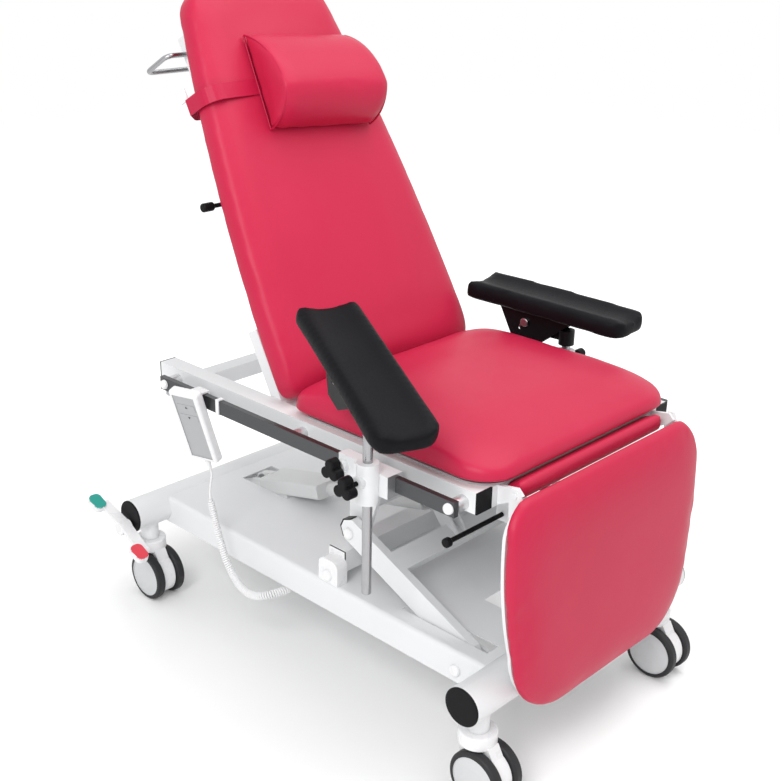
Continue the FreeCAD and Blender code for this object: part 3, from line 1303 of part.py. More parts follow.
# Hand control
def handset():
    turn = FreeCAD.Rotation(V(0, 0, 1), handset_yaw)
    turn = turn.multiply(FreeCAD.Rotation(V(0, 1, 0), handset_lean))
    turn = turn.multiply(FreeCAD.Rotation(V(1, 0, 0), handset_roll))
    centre = V(handset_x, handset_y, handset_z)
    spot = FreeCAD.Placement(centre, turn)
    half_w = handset_width / 2
    half_h = handset_height / 2
    case = box((0, handset_thick), (-half_w, half_w), (-half_h, half_h))
    case = case.makeFillet(handset_round, case.Edges)
    pocket = box((-overrun, handset_recess), (-half_w + handset_frame, half_w - handset_frame),
                 (-half_h + handset_frame, half_h - handset_frame))
    case = case.cut(pocket)
    for row in key_rows:
        case = case.cut(box((-overrun, handset_recess + key_thick), (-key_width / 2 - key_gap, key_width / 2 + key_gap),
                            (row - key_height / 2 - key_gap, row + key_height / 2 + key_gap)))
    boot = Part.makeCone(boot_wide, boot_narrow, boot_length, V(handset_thick / 2, 0, -half_h + sheet), V(0, 0, -1))
    shell = joined([case, boot])
    shell.Placement = spot.multiply(shell.Placement)
    rail_top = rail_centre + rail_height / 2
    rail_in = rail_outer - rail_thick
    inner = -rail_in + hook_gap + hook_thick
    low = handset_y - hook_width / 2
    high = handset_y + hook_width / 2
    back_x = handset_x + sheet
    hook = joined([
        box((back_x, inner), (low, high), (rail_top + seat_gap, rail_top + seat_gap + hook_thick)),
        box((inner - hook_thick, inner), (low, high), (rail_top - hook_drop, rail_top + seat_gap + hook_thick)),
    ])
    save("handset_shell", [joined([shell, hook])])
    for name, row in zip(("handset_key_raise", "handset_key_lower"), key_rows):
        key = box((handset_recess - key_gap, handset_recess + key_thick - 2 * key_gap),
                  (-key_width / 2, key_width / 2), (row - key_height / 2, row + key_height / 2))
        key.Placement = spot.multiply(key.Placement)
        save(name, [key])
    tip = V(handset_thick / 2, 0, -half_h + sheet - boot_length - seat_gap)
    return spot.multVec(tip), spot.multVec(tip - V(0, 0, boot_length / 2))


def arc_path(points):
    """Straight runs joined by tangent arcs, each as large as its two runs allow."""
    edges = []
    radii = []
    last = points[0]
    for i in range(1, len(points) - 1):
        a = points[i] - points[i - 1]
        b = points[i + 1] - points[i]
        reach = 0.45 * min(a.Length, b.Length)
        turn = a.getAngle(b)
        a.normalize()
        b.normalize()
        radii.append(reach / math.tan(turn / 2))
        start = points[i] - a * reach
        end = points[i] + b * reach
        bisector = b - a
        bisector.normalize()
        middle = points[i] + bisector * (radii[-1] / math.cos(turn / 2) - radii[-1])
        edges.append(Part.LineSegment(last, start).toShape())
        edges.append(Part.Arc(start, middle, end).toShape())
        last = end
    edges.append(Part.LineSegment(last, points[-1]).toShape())
    return Part.Wire(edges), radii


def sweep(points, radius):
    path, radii = arc_path(points)
    ring = Part.Wire(Part.makeCircle(radius, points[0], points[1] - points[0]))
    solid = path.makePipeShell([ring], True, False)
    ideal = math.pi * radius * radius * path.Length
    print("lead radii", [round(r, 1) for r in radii], "volume ratio", round(solid.Volume / ideal, 4))
    return solid


def handset_lead(start, ahead):
    upper = sweep([start, ahead, *lead_upper, lead_coiled[0]], lead_radius)
    coil = sweep(lead_coiled, coil_radius)
    lower = sweep([lead_coiled[-1], *lead_lower], lead_radius)
    save("handset_lead", [joined([upper, coil, lower])])


os.makedirs("parts", exist_ok=True)
castors()
chassis()
tube_end_caps()
deck_cover()
control_box()
brake()
lift_arms()
lift_pins()
levelling_links()
lift_carriage()
rest_beam()
lift_drive()
seat_frame()
seat_frame_caps()
side_rails()
rail_fixings()
seat_upholstery()
back_rest()
push_handle()
back_lever()
gas_spring("back", back_gas_x, (back_gas_y, back_gas_z), yz_point(back_frame, back_gas_s, back_gas_n),
           back_gas_play, back_gas_stroke, back_gas_body_share)
leg_rest()
leg_lever()
gas_spring("leg", leg_gas_x, (leg_gas_y, leg_gas_z), yz_point(leg_frame, leg_gas_s, leg_gas_n),
           leg_gas_play, leg_gas_stroke, leg_gas_body_share)
headrest()
armrest("armrest_right", -1, right_pole_y, right_bolt_z, right_yaw, right_tilt, right_pad_shift)
armrest("armrest_left", 1, left_pole_y, left_bolt_z, left_yaw, left_tilt, left_pad_shift)
handset_lead(*handset())
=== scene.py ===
# %% [markdown]
# A blood-sampling chair, dressed in Blender
#
# The chair arrives as a frame of finished solids: the wheeled base, the lifting bars, the seat frame
# and every small fitting. This lesson gives each of them its real finish and makes the soft pieces
# anew, because foam under leatherette is never as crisp as a drawn solid.

# %% Load the frame
import bpy
import bmesh
import math
from mathutils import Vector, Matrix


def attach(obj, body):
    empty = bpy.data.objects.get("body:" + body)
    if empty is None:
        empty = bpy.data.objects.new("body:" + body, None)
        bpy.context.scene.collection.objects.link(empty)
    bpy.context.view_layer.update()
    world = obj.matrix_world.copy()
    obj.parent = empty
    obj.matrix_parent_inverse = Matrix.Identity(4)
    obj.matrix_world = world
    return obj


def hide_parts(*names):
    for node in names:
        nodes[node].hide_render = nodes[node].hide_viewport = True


per_metre = 1000
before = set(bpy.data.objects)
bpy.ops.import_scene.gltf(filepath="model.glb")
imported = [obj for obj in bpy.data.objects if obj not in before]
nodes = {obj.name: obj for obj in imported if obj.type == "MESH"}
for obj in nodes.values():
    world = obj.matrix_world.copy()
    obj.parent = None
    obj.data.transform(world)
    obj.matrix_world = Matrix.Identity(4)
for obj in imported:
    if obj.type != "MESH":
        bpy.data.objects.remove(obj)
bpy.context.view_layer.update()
scene = bpy.context.scene

# %% [markdown]
# The camera
#
# The picture was taken from the foot end's right, a little above the armrests, with an ordinary lens.
# The place, the turn and the lens below were found by fitting a camera to the picture, so they are
# written as plain numbers. The small shift stands for the picture having been trimmed.

# %% Camera
camera_place = (-1.5066, -1.4107, 1.3249)
camera_heading = -44.88
camera_pitch = 68.439
camera_roll = 0.381
camera_lens = 55.303
sensor_width = 36.0
trim_across = 0.0473
trim_up = -0.0034


def turned(angle, axis, size=4):
    return Matrix.Rotation(math.radians(angle), size, axis)


eye = bpy.data.objects.new("camera", bpy.data.cameras.new("camera"))
scene.collection.objects.link(eye)
turn = turned(camera_heading, "Z") @ turned(camera_pitch, "X") @ turned(camera_roll, "Z")
eye.matrix_world = Matrix.Translation(camera_place) @ turn
eye.data.sensor_width = sensor_width
eye.data.sensor_fit = "HORIZONTAL"
eye.data.lens = camera_lens
eye.data.shift_x = trim_across
eye.data.shift_y = trim_up
scene.camera = eye
scene.view_settings.view_transform = "Standard"
print("camera stands", [round(v, 3) for v in eye.location])

# %% [markdown]
# Shader sums as plain sums
#
# Node trees are easier to read as arithmetic. The class below wraps one output socket, so that an
# expression on wrapped values adds its own Math nodes, and one method adds any other node.

# %% Sockets that add up
class Flow:
    def __init__(self, tree, socket):
        self.tree = tree
        self.socket = socket

    def _math(self, kind, a, b):
        node = self.tree.nodes.new("ShaderNodeMath")
        node.operation = kind
        for slot, value in ((0, a), (1, b)):
            if isinstance(value, Flow):
                self.tree.links.new(value.socket, node.inputs[slot])
            else:
                node.inputs[slot].default_value = value
        return Flow(self.tree, node.outputs[0])

    def __add__(self, other):
        return self._math("ADD", self, other)

    def __mul__(self, other):
        return self._math("MULTIPLY", self, other)


class Finish:
    def __init__(self, name, color, roughness, metallic=0.0, **fixed):
        self.material = bpy.data.materials.new(name)
        self.material.use_nodes = True
        self.tree = self.material.node_tree
        self.shader = self.tree.nodes["Principled BSDF"]
        self.shader.inputs["Base Color"].default_value = (*color, 1.0)
        self.shader.inputs["Roughness"].default_value = roughness
        self.shader.inputs["Metallic"].default_value = metallic
        for socket, value in fixed.items():
            self.shader.inputs[socket.replace("_", " ")].default_value = value
        self.material.diffuse_color = (*color, 1.0)
        self.place = self.add("ShaderNodeTexCoord", {}, {}, "Object")

    def add(self, kind, settings, values, output=0):
        node = self.tree.nodes.new(kind)
        for key, value in settings.items():
            setattr(node, key, value)
        for socket, value in values.items():
            if isinstance(value, Flow):
                self.tree.links.new(value.socket, node.inputs[socket])
            else:
                node.inputs[socket].default_value = value
        return Flow(self.tree, node.outputs[output])

    def noise(self, scale, detail=2.0, stretch=None):
        place = self.place
        if stretch:
            place = self.add("ShaderNodeMapping", {}, {"Vector": place, "Scale": stretch})
        return self.add("ShaderNodeTexNoise", {}, {"Vector": place, "Scale": scale, "Detail": detail})

    def blend(self, mask, a, b):
        node = self.tree.nodes.new("ShaderNodeMix")
        node.data_type = "RGBA"
        self.tree.links.new(mask.socket, node.inputs[0])
        node.inputs[6].default_value = (*a, 1.0)
        node.inputs[7].default_value = (*b, 1.0)
        return Flow(self.tree, node.outputs[2])

    def feed(self, socket, value):
        self.tree.links.new(value.socket, self.shader.inputs[socket])

    def bump(self, height, strength, distance):
        self.feed("Normal", self.add("ShaderNodeBump", {}, {"Strength": strength, "Distance": distance,
                                                           "Height": height}))


def cloudy(finish, dark, light, scale=9.0):
    finish.feed("Base Color", finish.blend(finish.noise(scale, 3.0), dark, light))


# %% [markdown]
# Leatherette
#
# The cushions wear a smooth coated fabric. It has a very fine pore grain, a soft broad shine, and its
# colour runs slightly warmer and paler where the foam pulls it tight. Cells of two sizes make the
# grain, and a slow noise moves the colour and the shine.

# %% Leatherette finishes
def leatherette(name, dark, light):
    look = Finish(name, light, 0.42, Coat_Weight=0.03, Coat_Roughness=0.35, Specular_IOR_Level=0.24)
    cloudy(look, dark, light, 5.0)
    pores = look.add("ShaderNodeTexVoronoi", {"feature": "F1"}, {"Vector": look.place, "Scale": 750.0})
    fine = look.noise(1500.0, 2.0)
    look.bump(pores * 0.6 + fine * 0.4, 0.22, 0.0006)
    look.feed("Roughness", look.noise(14.0, 2.0) * 0.12 + 0.36)
    return look.material


red_cover = leatherette("red leatherette", (0.48, 0.012, 0.050), (0.54, 0.018, 0.066))
red_piping = leatherette("piping leatherette", (0.44, 0.007, 0.044), (0.50, 0.011, 0.056))
print("leatherette ready")

# %% [markdown]
# Paint, plastic and metal
#
# The frame is powder coated: an even pale grey with a faint orange-peel surface. Moulded parts are
# smoother. The rails and poles are ground steel, which shows fine lines along their length, so their
# noise is stretched hard along one axis.

# %% Hard finishes
def coated(name, dark, light, roughness, peel=0.10, shine=0.5):
    look = Finish(name, light, roughness, Specular_IOR_Level=shine)
    cloudy(look, dark, light, 4.0)
    look.bump(look.noise(420.0, 2.0), peel, 0.0004)
    look.feed("Roughness", look.noise(30.0, 2.0) * 0.10 + (roughness - 0.05))
    return look.material


def ground_metal(name, dark, light, roughness, stretch):
    look = Finish(name, light, roughness, metallic=1.0)
    lines = look.noise(60.0, 3.0, stretch)
    look.feed("Base Color", look.blend(lines, dark, light))
    look.feed("Roughness", lines * 0.16 + (roughness - 0.08))
    look.bump(lines, 0.05, 0.0002)
    return look.material


white_paint = coated("white powder coat", (0.74, 0.75, 0.76), (0.79, 0.80, 0.81), 0.36)
white_moulded = coated("white moulding", (0.80, 0.80, 0.81), (0.84, 0.84, 0.85), 0.28, 0.05)
disc_grey = coated("wheel disc", (0.58, 0.59, 0.60), (0.64, 0.65, 0.66), 0.40, 0.06)
tyre_rubber = coated("tyre rubber", (0.016, 0.016, 0.018), (0.028, 0.028, 0.030), 0.52, 0.25, 0.30)
black_moulded = coated("black moulding", (0.006, 0.006, 0.007), (0.010, 0.010, 0.011), 0.38, 0.15, 0.09)
black_paint = coated("black paint", (0.005, 0.005, 0.006), (0.009, 0.009, 0.010), 0.42, 0.10, 0.18)
keypad_grey = coated("keypad film", (0.38, 0.385, 0.395), (0.42, 0.425, 0.435), 0.45, 0.04)
mark_dark = coated("printed mark", (0.05, 0.05, 0.06), (0.07, 0.07, 0.08), 0.5, 0.02)
drive_pale = coated("drive casing", (0.66, 0.67, 0.67), (0.72, 0.73, 0.73), 0.42)
laminate = coated("grey laminate", (0.36, 0.36, 0.37), (0.42, 0.42, 0.43), 0.55, 0.18)
pad_green = coated("green pad", (0.0, 0.27, 0.22), (0.0, 0.33, 0.27), 0.45, 0.2)
pad_red = coated("red pad", (0.68, 0.035, 0.06), (0.76, 0.05, 0.08), 0.45, 0.2)
along_y = (30.0, 1.0, 30.0)
along_z = (30.0, 30.0, 1.0)
no_grain = (8.0, 8.0, 8.0)
rail_steel = ground_metal("rail steel", (0.075, 0.077, 0.080), (0.120, 0.123, 0.127), 0.36, along_y)
pole_steel = ground_metal("pole steel", (0.30, 0.30, 0.31), (0.50, 0.50, 0.51), 0.24, along_z)
bright_steel = ground_metal("bright steel", (0.60, 0.60, 0.61), (0.76, 0.76, 0.77), 0.32, no_grain)
print("hard finishes ready")

# %% [markdown]
# Arm pads
#
# The two arm pads are skinned foam: matt black with a leather-like pebble. A coarse cell pattern
# under a fine noise gives the pebble.

# %% Skinned foam
def skinned_foam():
    look = Finish("skinned foam", (0.006, 0.006, 0.008), 0.5, Specular_IOR_Level=0.07)
    cloudy(look, (0.004, 0.004, 0.005), (0.009, 0.009, 0.011), 12.0)
    cells = look.add("ShaderNodeTexVoronoi", {"feature": "F1"}, {"Vector": look.place, "Scale": 420.0})
    look.bump(cells * 0.7 + look.noise(900.0) * 0.3, 0.28, 0.0006)
    look.feed("Roughness", cells * 0.15 + 0.38)
    return look.material


black_foam = skinned_foam()

# %% [markdown]
# Dressing the solids
#
# A node of the frame is one mesh that may hold several real pieces, such as tyres round grey discs.
# Its triangles are grouped into islands that share corners, and a rule on an island's box, or on a
# triangle's centre, picks the finish. Only the finish index changes, never the mesh.

# %% Helpers that dress a node
corner_grid = 20000


def dress(node, *finishes):
    mesh = nodes[node].data
    mesh.materials.clear()
    for finish in finishes:
        mesh.materials.append(finish)
    return mesh


def dress_faces(node, finishes, rule):
    mesh = dress(node, *finishes)
    for face in mesh.polygons:
        face.material_index = rule(face.center)


def islands(mesh):
    parent = {}

    def root(key):
        while parent.setdefault(key, key) != key:
            parent[key] = parent[parent[key]]
            key = parent[key]
        return key

    keys = [tuple(round(c * corner_grid) for c in v.co) for v in mesh.vertices]
    for face in mesh.polygons:
        first = root(keys[face.vertices[0]])
        for i in face.vertices[1:]:
            parent[root(keys[i])] = first
    groups = {}
    for face in mesh.polygons:
        groups.setdefault(root(keys[face.vertices[0]]), []).append(face)
    return list(groups.values())


def dress_islands(node, finishes, rule):
    mesh = dress(node, *finishes)
    for group in islands(mesh):
        points = [mesh.vertices[i].co for face in group for i in face.vertices]
        low = Vector([min(p[k] for p in points) for k in range(3)])
        high = Vector([max(p[k] for p in points) for k in range(3)])
        index = rule(low * per_metre, high * per_metre)
        for face in group:
            face.material_index = index


plain = {
    white_paint: ("chassis_frame", "deck_cover", "lift_carriage", "seat_frame", "back_frame", "leg_backing"),
    white_moulded: ("control_box", "lift_pins"),
    black_moulded: ("tube_end_caps", "seat_frame_caps", "back_lever", "leg_lever", "armrest_right_pole_knob",
                    "armrest_left_pole_knob", "armrest_right_rail_knob", "armrest_left_rail_knob"),
    black_paint: ("levelling_links", "armrest_right_head", "armrest_left_head", "back_gas_cylinder",
                  "leg_gas_cylinder"),
    drive_pale: ("actuator_motor",),
    bright_steel: ("actuator_rod", "brake_shaft", "back_gas_rod", "leg_gas_rod"),
    pole_steel: ("armrest_right_pole", "armrest_left_pole", "push_handle"),
    rail_steel: ("side_rails",),
    laminate: ("back_board", "seat_pan"),
    keypad_grey: ("handset_key_raise", "handset_key_lower"),
}
for finish, names in plain.items():
    for name in names:
        dress(name, finish)
print("plain nodes", sum(len(v) for v in plain.values()))

# %% Wheels and brake pedal
castor_spots = {"foot": -439.5, "head": 439.5}
castor_trail = 20
axle_height = 50
disc_radius = 41.02
pedal_tilt = math.radians(23.5)
pedal_y = 439.5
pedal_z = 168.0
pad_floor = 10.5
pad_start = 46


def disc_rule(y):
    return lambda c: int(math.hypot(c.y * per_metre - y + castor_trail,
                                    c.z * per_metre - axle_height) < disc_radius)


for end, y in castor_spots.items():
    for side in ("right", "left"):
        name = "castor_%s_%s" % (end, side)
        dress(name + "_housing", white_moulded)
        dress_faces(name + "_wheels", (tyre_rubber, disc_grey), disc_rule(y))


def pedal_rule(c):
    dy = c.y * per_metre - pedal_y
    dz = c.z * per_metre - pedal_z
    along = dy * math.cos(pedal_tilt) + dz * math.sin(pedal_tilt)
    above = dz * math.cos(pedal_tilt) - dy * math.sin(pedal_tilt)
    if above < pad_floor or abs(along) < pad_start:
        return 0
    return 1 if along > 0 else 2


dress_faces("brake_pedal", (white_moulded, pad_green, pad_red), pedal_rule)

# %% [markdown]
# Caps on the lifting bars
#
# A lifting bar ends in three faces, one square to the bar and two cut at 45 degrees. What stands past
# any of the three is the black cap. The rest beam has black plates between its ends and its blocks.

# %% Lifting bars and rest beam
bar_slope = 24.19
bar_ends = ((-45, -163.28), (0, 77.04), (45, 283.55))
cap_margin = 0.06
beam_end = 188.9
plate_end = 194.9
dome_start = 292


def arm_cap_rule(c):
    past = []
    for lean, reach in bar_ends:
        face = math.radians(bar_slope + lean)
        past.append(c.y * per_metre * math.cos(face) + c.z * per_metre * math.sin(face) - reach)
    return int(max(past) > cap_margin)


def beam_rule(c):
    x = abs(c.x * per_metre)
    return 0 if x < beam_end else (1 if x < plate_end else 2)


def dome_rule(low, high):
    return int(max(abs(low.x), abs(high.x)) > dome_start)


dress_faces("lift_arms", (white_paint, black_moulded), arm_cap_rule)
dress_faces("rest_beam", (white_paint, black_moulded, white_moulded), beam_rule)
dress_islands("rail_fixings", (bright_steel, white_moulded), dome_rule)

# %% Armrest brackets and clamps
tilt_bolts = {"right": (-0.2873, -0.1733, 0.656), "left": (0.3109, -0.0757, 0.590)}
pole_spots = {"right": -250, "left": -158}
bolt_reach = 0.0285
bolt_rise = 0.009
bolt_width = 0.0095
jaw_start = 33


def bolt_rule(bolt):
    return lambda c: int((c - Vector(bolt)).length < bolt_reach and abs(c.z - bolt[2]) < bolt_rise
                         and abs(c.y - bolt[1]) < bolt_width)


def jaw_rule(y):
    return lambda c: int(c.y * per_metre < y - jaw_start)


for side in ("right", "left"):
    dress_faces("armrest_%s_bracket" % side, (black_paint, bright_steel), bolt_rule(tilt_bolts[side]))
    dress_faces("armrest_%s_clamp" % side, (white_paint, bright_steel), jaw_rule(pole_spots[side]))
print("mixed nodes dressed")

# %% [markdown]
# The hand control
#
# Its white case holds a grey film with two keys. The film is the floor of a shallow pocket, so its
# triangles are found in the case's own tilted axes. Two small arrowheads on the keys, one up and one
# down, are thin raised marks of their own.

# %% Hand control
hand_place = (-0.3068, 0.2063, 0.4574)
hand_turns = (("Z", 12.0), ("Y", -16.4), ("X", -3.3))
film_floor = 0.5
film_rim = 5
film_half_width = 25.6
film_half_height = 68.8
arrow_radius = 0.0034
arrow_thick = 0.0003
arrow_stand = 0.00105
arrow_rows = (("raise", 0.044, 1), ("lower", 0.022, -1))
hand_spot = Matrix.Translation(hand_place)
for axis, angle in hand_turns:
    hand_spot = hand_spot @ turned(angle, axis)
hand_back = hand_spot.inverted()


def film_rule(c):
    local = hand_back @ c * per_metre
    deep = film_floor < local.x < film_rim
    return int(deep and abs(local.y) < film_half_width and abs(local.z) < film_half_height)


dress_faces("handset_shell", (white_moulded, keypad_grey), film_rule)


def new_piece(name, bm, body, slot, *finishes):
    mesh = bpy.data.meshes.new(name)
    bm.to_mesh(mesh)
    bm.free()
    piece = bpy.data.objects.new(name, mesh)
    scene.collection.objects.link(piece)
    for finish in finishes:
        mesh.materials.append(finish)
    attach(piece, body)
    return piece


for key, row, way in arrow_rows:
    bm = bmesh.new()
    bmesh.ops.create_circle(bm, cap_ends=True, radius=arrow_radius, segments=3)
    bmesh.ops.rotate(bm, verts=bm.verts, matrix=turned(90 * way - 90, "Z", 3))
    lifted = bmesh.ops.extrude_face_region(bm, geom=bm.faces[:])["geom"]
    top = [v for v in lifted if isinstance(v, bmesh.types.BMVert)]
    bmesh.ops.translate(bm, verts=top, vec=(0, 0, arrow_thick))
    bmesh.ops.recalc_face_normals(bm, faces=bm.faces)
    upright = Matrix.Translation((arrow_stand, 0, row)) @ turned(-90, "Y") @ turned(-90, "Z")
    bmesh.ops.transform(bm, verts=bm.verts, matrix=hand_spot @ upright)
    new_piece("key_mark_" + key, bm, "key_" + key, "grey_face", mark_dark)
print("hand control dressed")

# %% [markdown]
# The coiled lead
#
# A lead hangs from the hand control to a hole in the underside of the deck. It is thin and straight
# at first, then wound into a springy coil. The route is a smooth line through a few chosen points;
# the coil's turns are wound round points read from that line, so the lead stays one spline.

# %% Route of the lead
lead_route = [
    (-0.2684, 0.2085, 0.3637), (-0.2647, 0.2086, 0.3512), (-0.2640, 0.2125, 0.3380),
    (-0.2625, 0.2190, 0.3180), (-0.2620, 0.2215, 0.2940), (-0.2610, 0.2125, 0.2620),
    (-0.2615, 0.2030, 0.2320), (-0.2610, 0.1915, 0.2010), (-0.2620, 0.1770, 0.1730),
    (-0.2610, 0.1570, 0.1470), (-0.2615, 0.1290, 0.1320), (-0.2590, 0.0990, 0.1310),
    (-0.2460, 0.0750, 0.1390), (-0.2240, 0.0640, 0.1425), (-0.2030, 0.0600, 0.1440),
    (-0.1870, 0.0580, 0.1530), (-0.1790, 0.0610, 0.1720),
]
guide_steps = 24
measure_step = 0.01


def open_spline(name, points, radius):
    curve = bpy.data.curves.new(name, "CURVE")
    curve.dimensions = "3D"
    spline = curve.splines.new("NURBS")
    spline.points.add(len(points) - 1)
    for point, place in zip(spline.points, points):
        point.co = (*place, 1.0)
    spline.order_u = 3
    spline.use_endpoint_u = True
    curve.resolution_u = 4
    curve.bevel_depth = radius
    curve.bevel_resolution = 3
    curve.use_fill_caps = True
    return curve


def line_of(points):
    guide = bpy.data.objects.new("guide", open_spline("guide", points, 0.0))
    guide.data.resolution_u = guide_steps
    scene.collection.objects.link(guide)
    mesh = bpy.data.meshes.new_from_object(guide)
    found = [v.co.copy() for v in mesh.vertices]
    bpy.data.objects.remove(guide)
    bpy.data.meshes.remove(mesh)
    return found


def stepped(line, step):
    spots = [line[0]]
    travelled = 0.0
    wanted = step
    for a, b in zip(line, line[1:]):
        length = (b - a).length
        while travelled + length >= wanted:
            spots.append(a.lerp(b, (wanted - travelled) / length))
            wanted += step
        travelled += length
    return spots, travelled


lead_line = line_of(lead_route)
_, lead_length = stepped(lead_line, measure_step)
print("lead runs", round(lead_length, 3), "m")

# %% Wind the coil
lead_radius = 0.0021
coil_radius = 0.0046
coil_swell = 0.0024
coil_pitch = 0.0043
coil_from = 0.068
coil_to = 0.375
coil_ramp = 0.012
turn_points = 10
straight_stride = 4 * turn_points // 5
spots, _ = stepped(lead_line, coil_pitch / turn_points)
lead_points = []
side = Vector((0, 1, 0))
for i, spot in enumerate(spots[:-1]):
    run = i * coil_pitch / turn_points
    ahead = (spots[i + 1] - spot).normalized()
    side = (side - ahead * side.dot(ahead)).normalized()
    grow = min(1.0, max(0.0, (run - coil_from) / coil_ramp), max(0.0, (coil_to - run) / coil_ramp))
    if grow <= 0:
        if i % straight_stride == 0:
            lead_points.append(spot)
        continue
    angle = 2 * math.pi * i / turn_points
    reach = (coil_radius + coil_swell * (run - coil_from) / (coil_to - coil_from)) * grow
    lead_points.append(spot + side * reach * math.cos(angle) + ahead.cross(side) * reach * math.sin(angle))
lead_points.append(lead_line[-1])
lead = bpy.data.objects.new("hand_lead", open_spline("hand_lead", lead_points, lead_radius))
scene.collection.objects.link(lead)
lead.data.materials.append(white_moulded)
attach(lead, "chassis")
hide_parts("handset_lead")
_, wound_length = stepped(line_of(lead_points), measure_step)
print("wound lead", round(wound_length, 3), "m in", len(lead_points), "points")

# %% [markdown]
# Cushions
#
# Each cushion is foam on a board under a tight cover. The drawn solid has the right outline but hard
# lines, so a copy is rebuilt from small even cells, smoothed, drawn in a little, and then blown up
# as cloth with a limit on how far any point may travel. The result keeps the outline and gains the
# full, slightly tense surface of an upholstered pad.

# %% A pad blown up from its solid
weld_gap = 0.00002
rear_layer = 0.009
face_share = 0.72
first_rounds = 4
last_rounds = 3
blow_frames = 20


def cell_copy(node, cell):
    bm = bmesh.new()
    bm.from_mesh(nodes[node].data)
    bmesh.ops.remove_doubles(bm, verts=bm.verts, dist=weld_gap)
    mesh = bpy.data.meshes.new(node + "_cells")
    bm.to_mesh(mesh)
    bm.free()
    piece = bpy.data.objects.new(node + "_cells", mesh)
    scene.collection.objects.link(piece)
    remesh = piece.modifiers.new("cells", "REMESH")
    remesh.mode = "VOXEL"
    remesh.voxel_size = cell
    seen = piece.evaluated_get(bpy.context.evaluated_depsgraph_get())
    piece_mesh = bpy.data.meshes.new_from_object(seen)
    bpy.data.objects.remove(piece)
    return piece_mesh


def smooth(bm, chosen, rounds):
    for _ in range(rounds):
        bmesh.ops.smooth_vert(bm, verts=chosen, factor=0.5, use_axis_x=True, use_axis_y=True,
                              use_axis_z=True)


def soften(bm, rounds, facing=None):
    chosen = bm.verts[:]
    if facing:
        low = min(v.co.dot(facing) for v in chosen)
        chosen = [v for v in chosen if v.co.dot(facing) > low + rear_layer]
    smooth(bm, chosen, rounds)


def draw_in(bm, depth):
    bm.normal_update()
    for v in bm.verts:
        v.co -= v.normal * depth


def blown(piece, pressure, cap):
    start = [v.co.copy() for v in piece.data.vertices]
    cloth = piece.modifiers.new("cover", "CLOTH")
    cloth.settings.use_pressure = True
    cloth.settings.uniform_pressure_force = pressure
    cloth.settings.effector_weights.gravity = 0.0
    cloth.settings.quality = 5
    cloth.point_cache.frame_start = 1
    cloth.point_cache.frame_end = blow_frames
    for step in range(1, blow_frames + 1):
        scene.frame_set(step)
    seen = piece.evaluated_get(bpy.context.evaluated_depsgraph_get()).data
    ends = [v.co.copy() for v in seen.vertices]
    piece.modifiers.remove(cloth)
    scene.frame_set(1)
    for v, a, b in zip(piece.data.vertices, start, ends):
        move = b - a
        if move.length > cap:
            move *= cap / move.length
        v.co = a + move


def relax_side(bm, facing, rounds):
    bm.normal_update()
    smooth(bm, [v for v in bm.verts if v.normal.dot(facing) > face_share], rounds)


def upholstered(name, node, body, cell=0.006, rounds=6, depth=0.002, pressure=4.0, cap=0.003,
                form=None, facing=None, relax=90, flat=None, spread=0.0, cover=red_cover,
                slot="red_upholstery"):
    bm = bmesh.new()
    bm.from_mesh(cell_copy(node, cell))
    if form:
        for v in bm.verts:
            v.co = form(v.co * per_metre) / per_metre
    soften(bm, first_rounds)
    soften(bm, rounds, flat)
    if facing:
        relax_side(bm, facing, relax)
    draw_in(bm, depth)
    if spread:
        bm.normal_update()
        for v in bm.verts:
            v.co += (v.normal - facing * v.normal.dot(facing)) * spread
    piece = new_piece(name, bm, body, slot, cover)
    blown(piece, pressure, cap)
    bm = bmesh.new()
    bm.from_mesh(piece.data)
    soften(bm, last_rounds)
    for face in bm.faces:
        face.smooth = True
    bm.to_mesh(piece.data)
    bm.free()
    round_off = piece.modifiers.new("round", "SUBSURF")
    round_off.levels = 1
    round_off.render_levels = 1
    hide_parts(node)
    print(name, len(piece.data.polygons), "cells")


# %% [markdown]
# Forms of the three large pads
#
# The drawn solids round every edge alike. On the chair the seat falls away towards the knees, the
# corners beside the seam between seat and back are nearly square, and the faces are gently crowned.
# Each form below moves a point, in millimetres, by a few smooth rules.

# %% Axes of the backrest
slope = math.radians(61.14)
back_axis = Vector((0, math.cos(slope), math.sin(slope)))
back_face = Vector((0, -math.sin(slope), math.cos(slope)))
back_hinge = Vector((0, 0.060, 0.515))


def on_back(x, s, n):
    return Vector((x, 0, 0)) / per_metre + back_hinge + back_axis * s / per_metre + back_face * n / per_metre


# %% Forms of the seat, the back and the legrest
square_share = 0.9
seat_bottom = 537
seat_depth = 63
seat_front = -290
seat_front_run = 147
seat_front_drop = 26
seat_flank = 140
seat_flank_run = 115
seat_flank_drop = 8
seat_corner_x = 230
seat_corner_y = -35
seat_corner = 25
seat_growth = 11
back_corner_x = 206
back_corner_s = 48
back_corner = 34
back_growth = 7
leg_top = 470
leg_top_run = 50
leg_push = Vector((0, 7, 7))


def squared(u, v, amount):
    if u <= 0 or v <= 0:
        return u, v
    k = 1 + amount * (math.hypot(u, v) / max(u, v) - 1)
    return u * k, v * k


def seat_form(p):
    x, y, z = p
    lift = max(0.0, min(1.0, (z - seat_bottom) / seat_depth))
    front = max(0.0, (seat_front - y) / seat_front_run)
    flank = max(0.0, (abs(x) - seat_flank) / seat_flank_run)
    z -= lift * (seat_front_drop * front ** 2 + seat_flank_drop * flank ** 2)
    u, v = squared((abs(x) - seat_corner_x) / seat_corner, (y - seat_corner_y) / seat_corner, square_share)
    if u > 0 and v > 0:
        x = math.copysign(seat_corner_x + seat_corner * u, x)
        y = seat_corner * v + seat_corner_y
    y += seat_growth * max(0.0, y - seat_corner_y) / seat_corner
    return Vector((x, y, z))


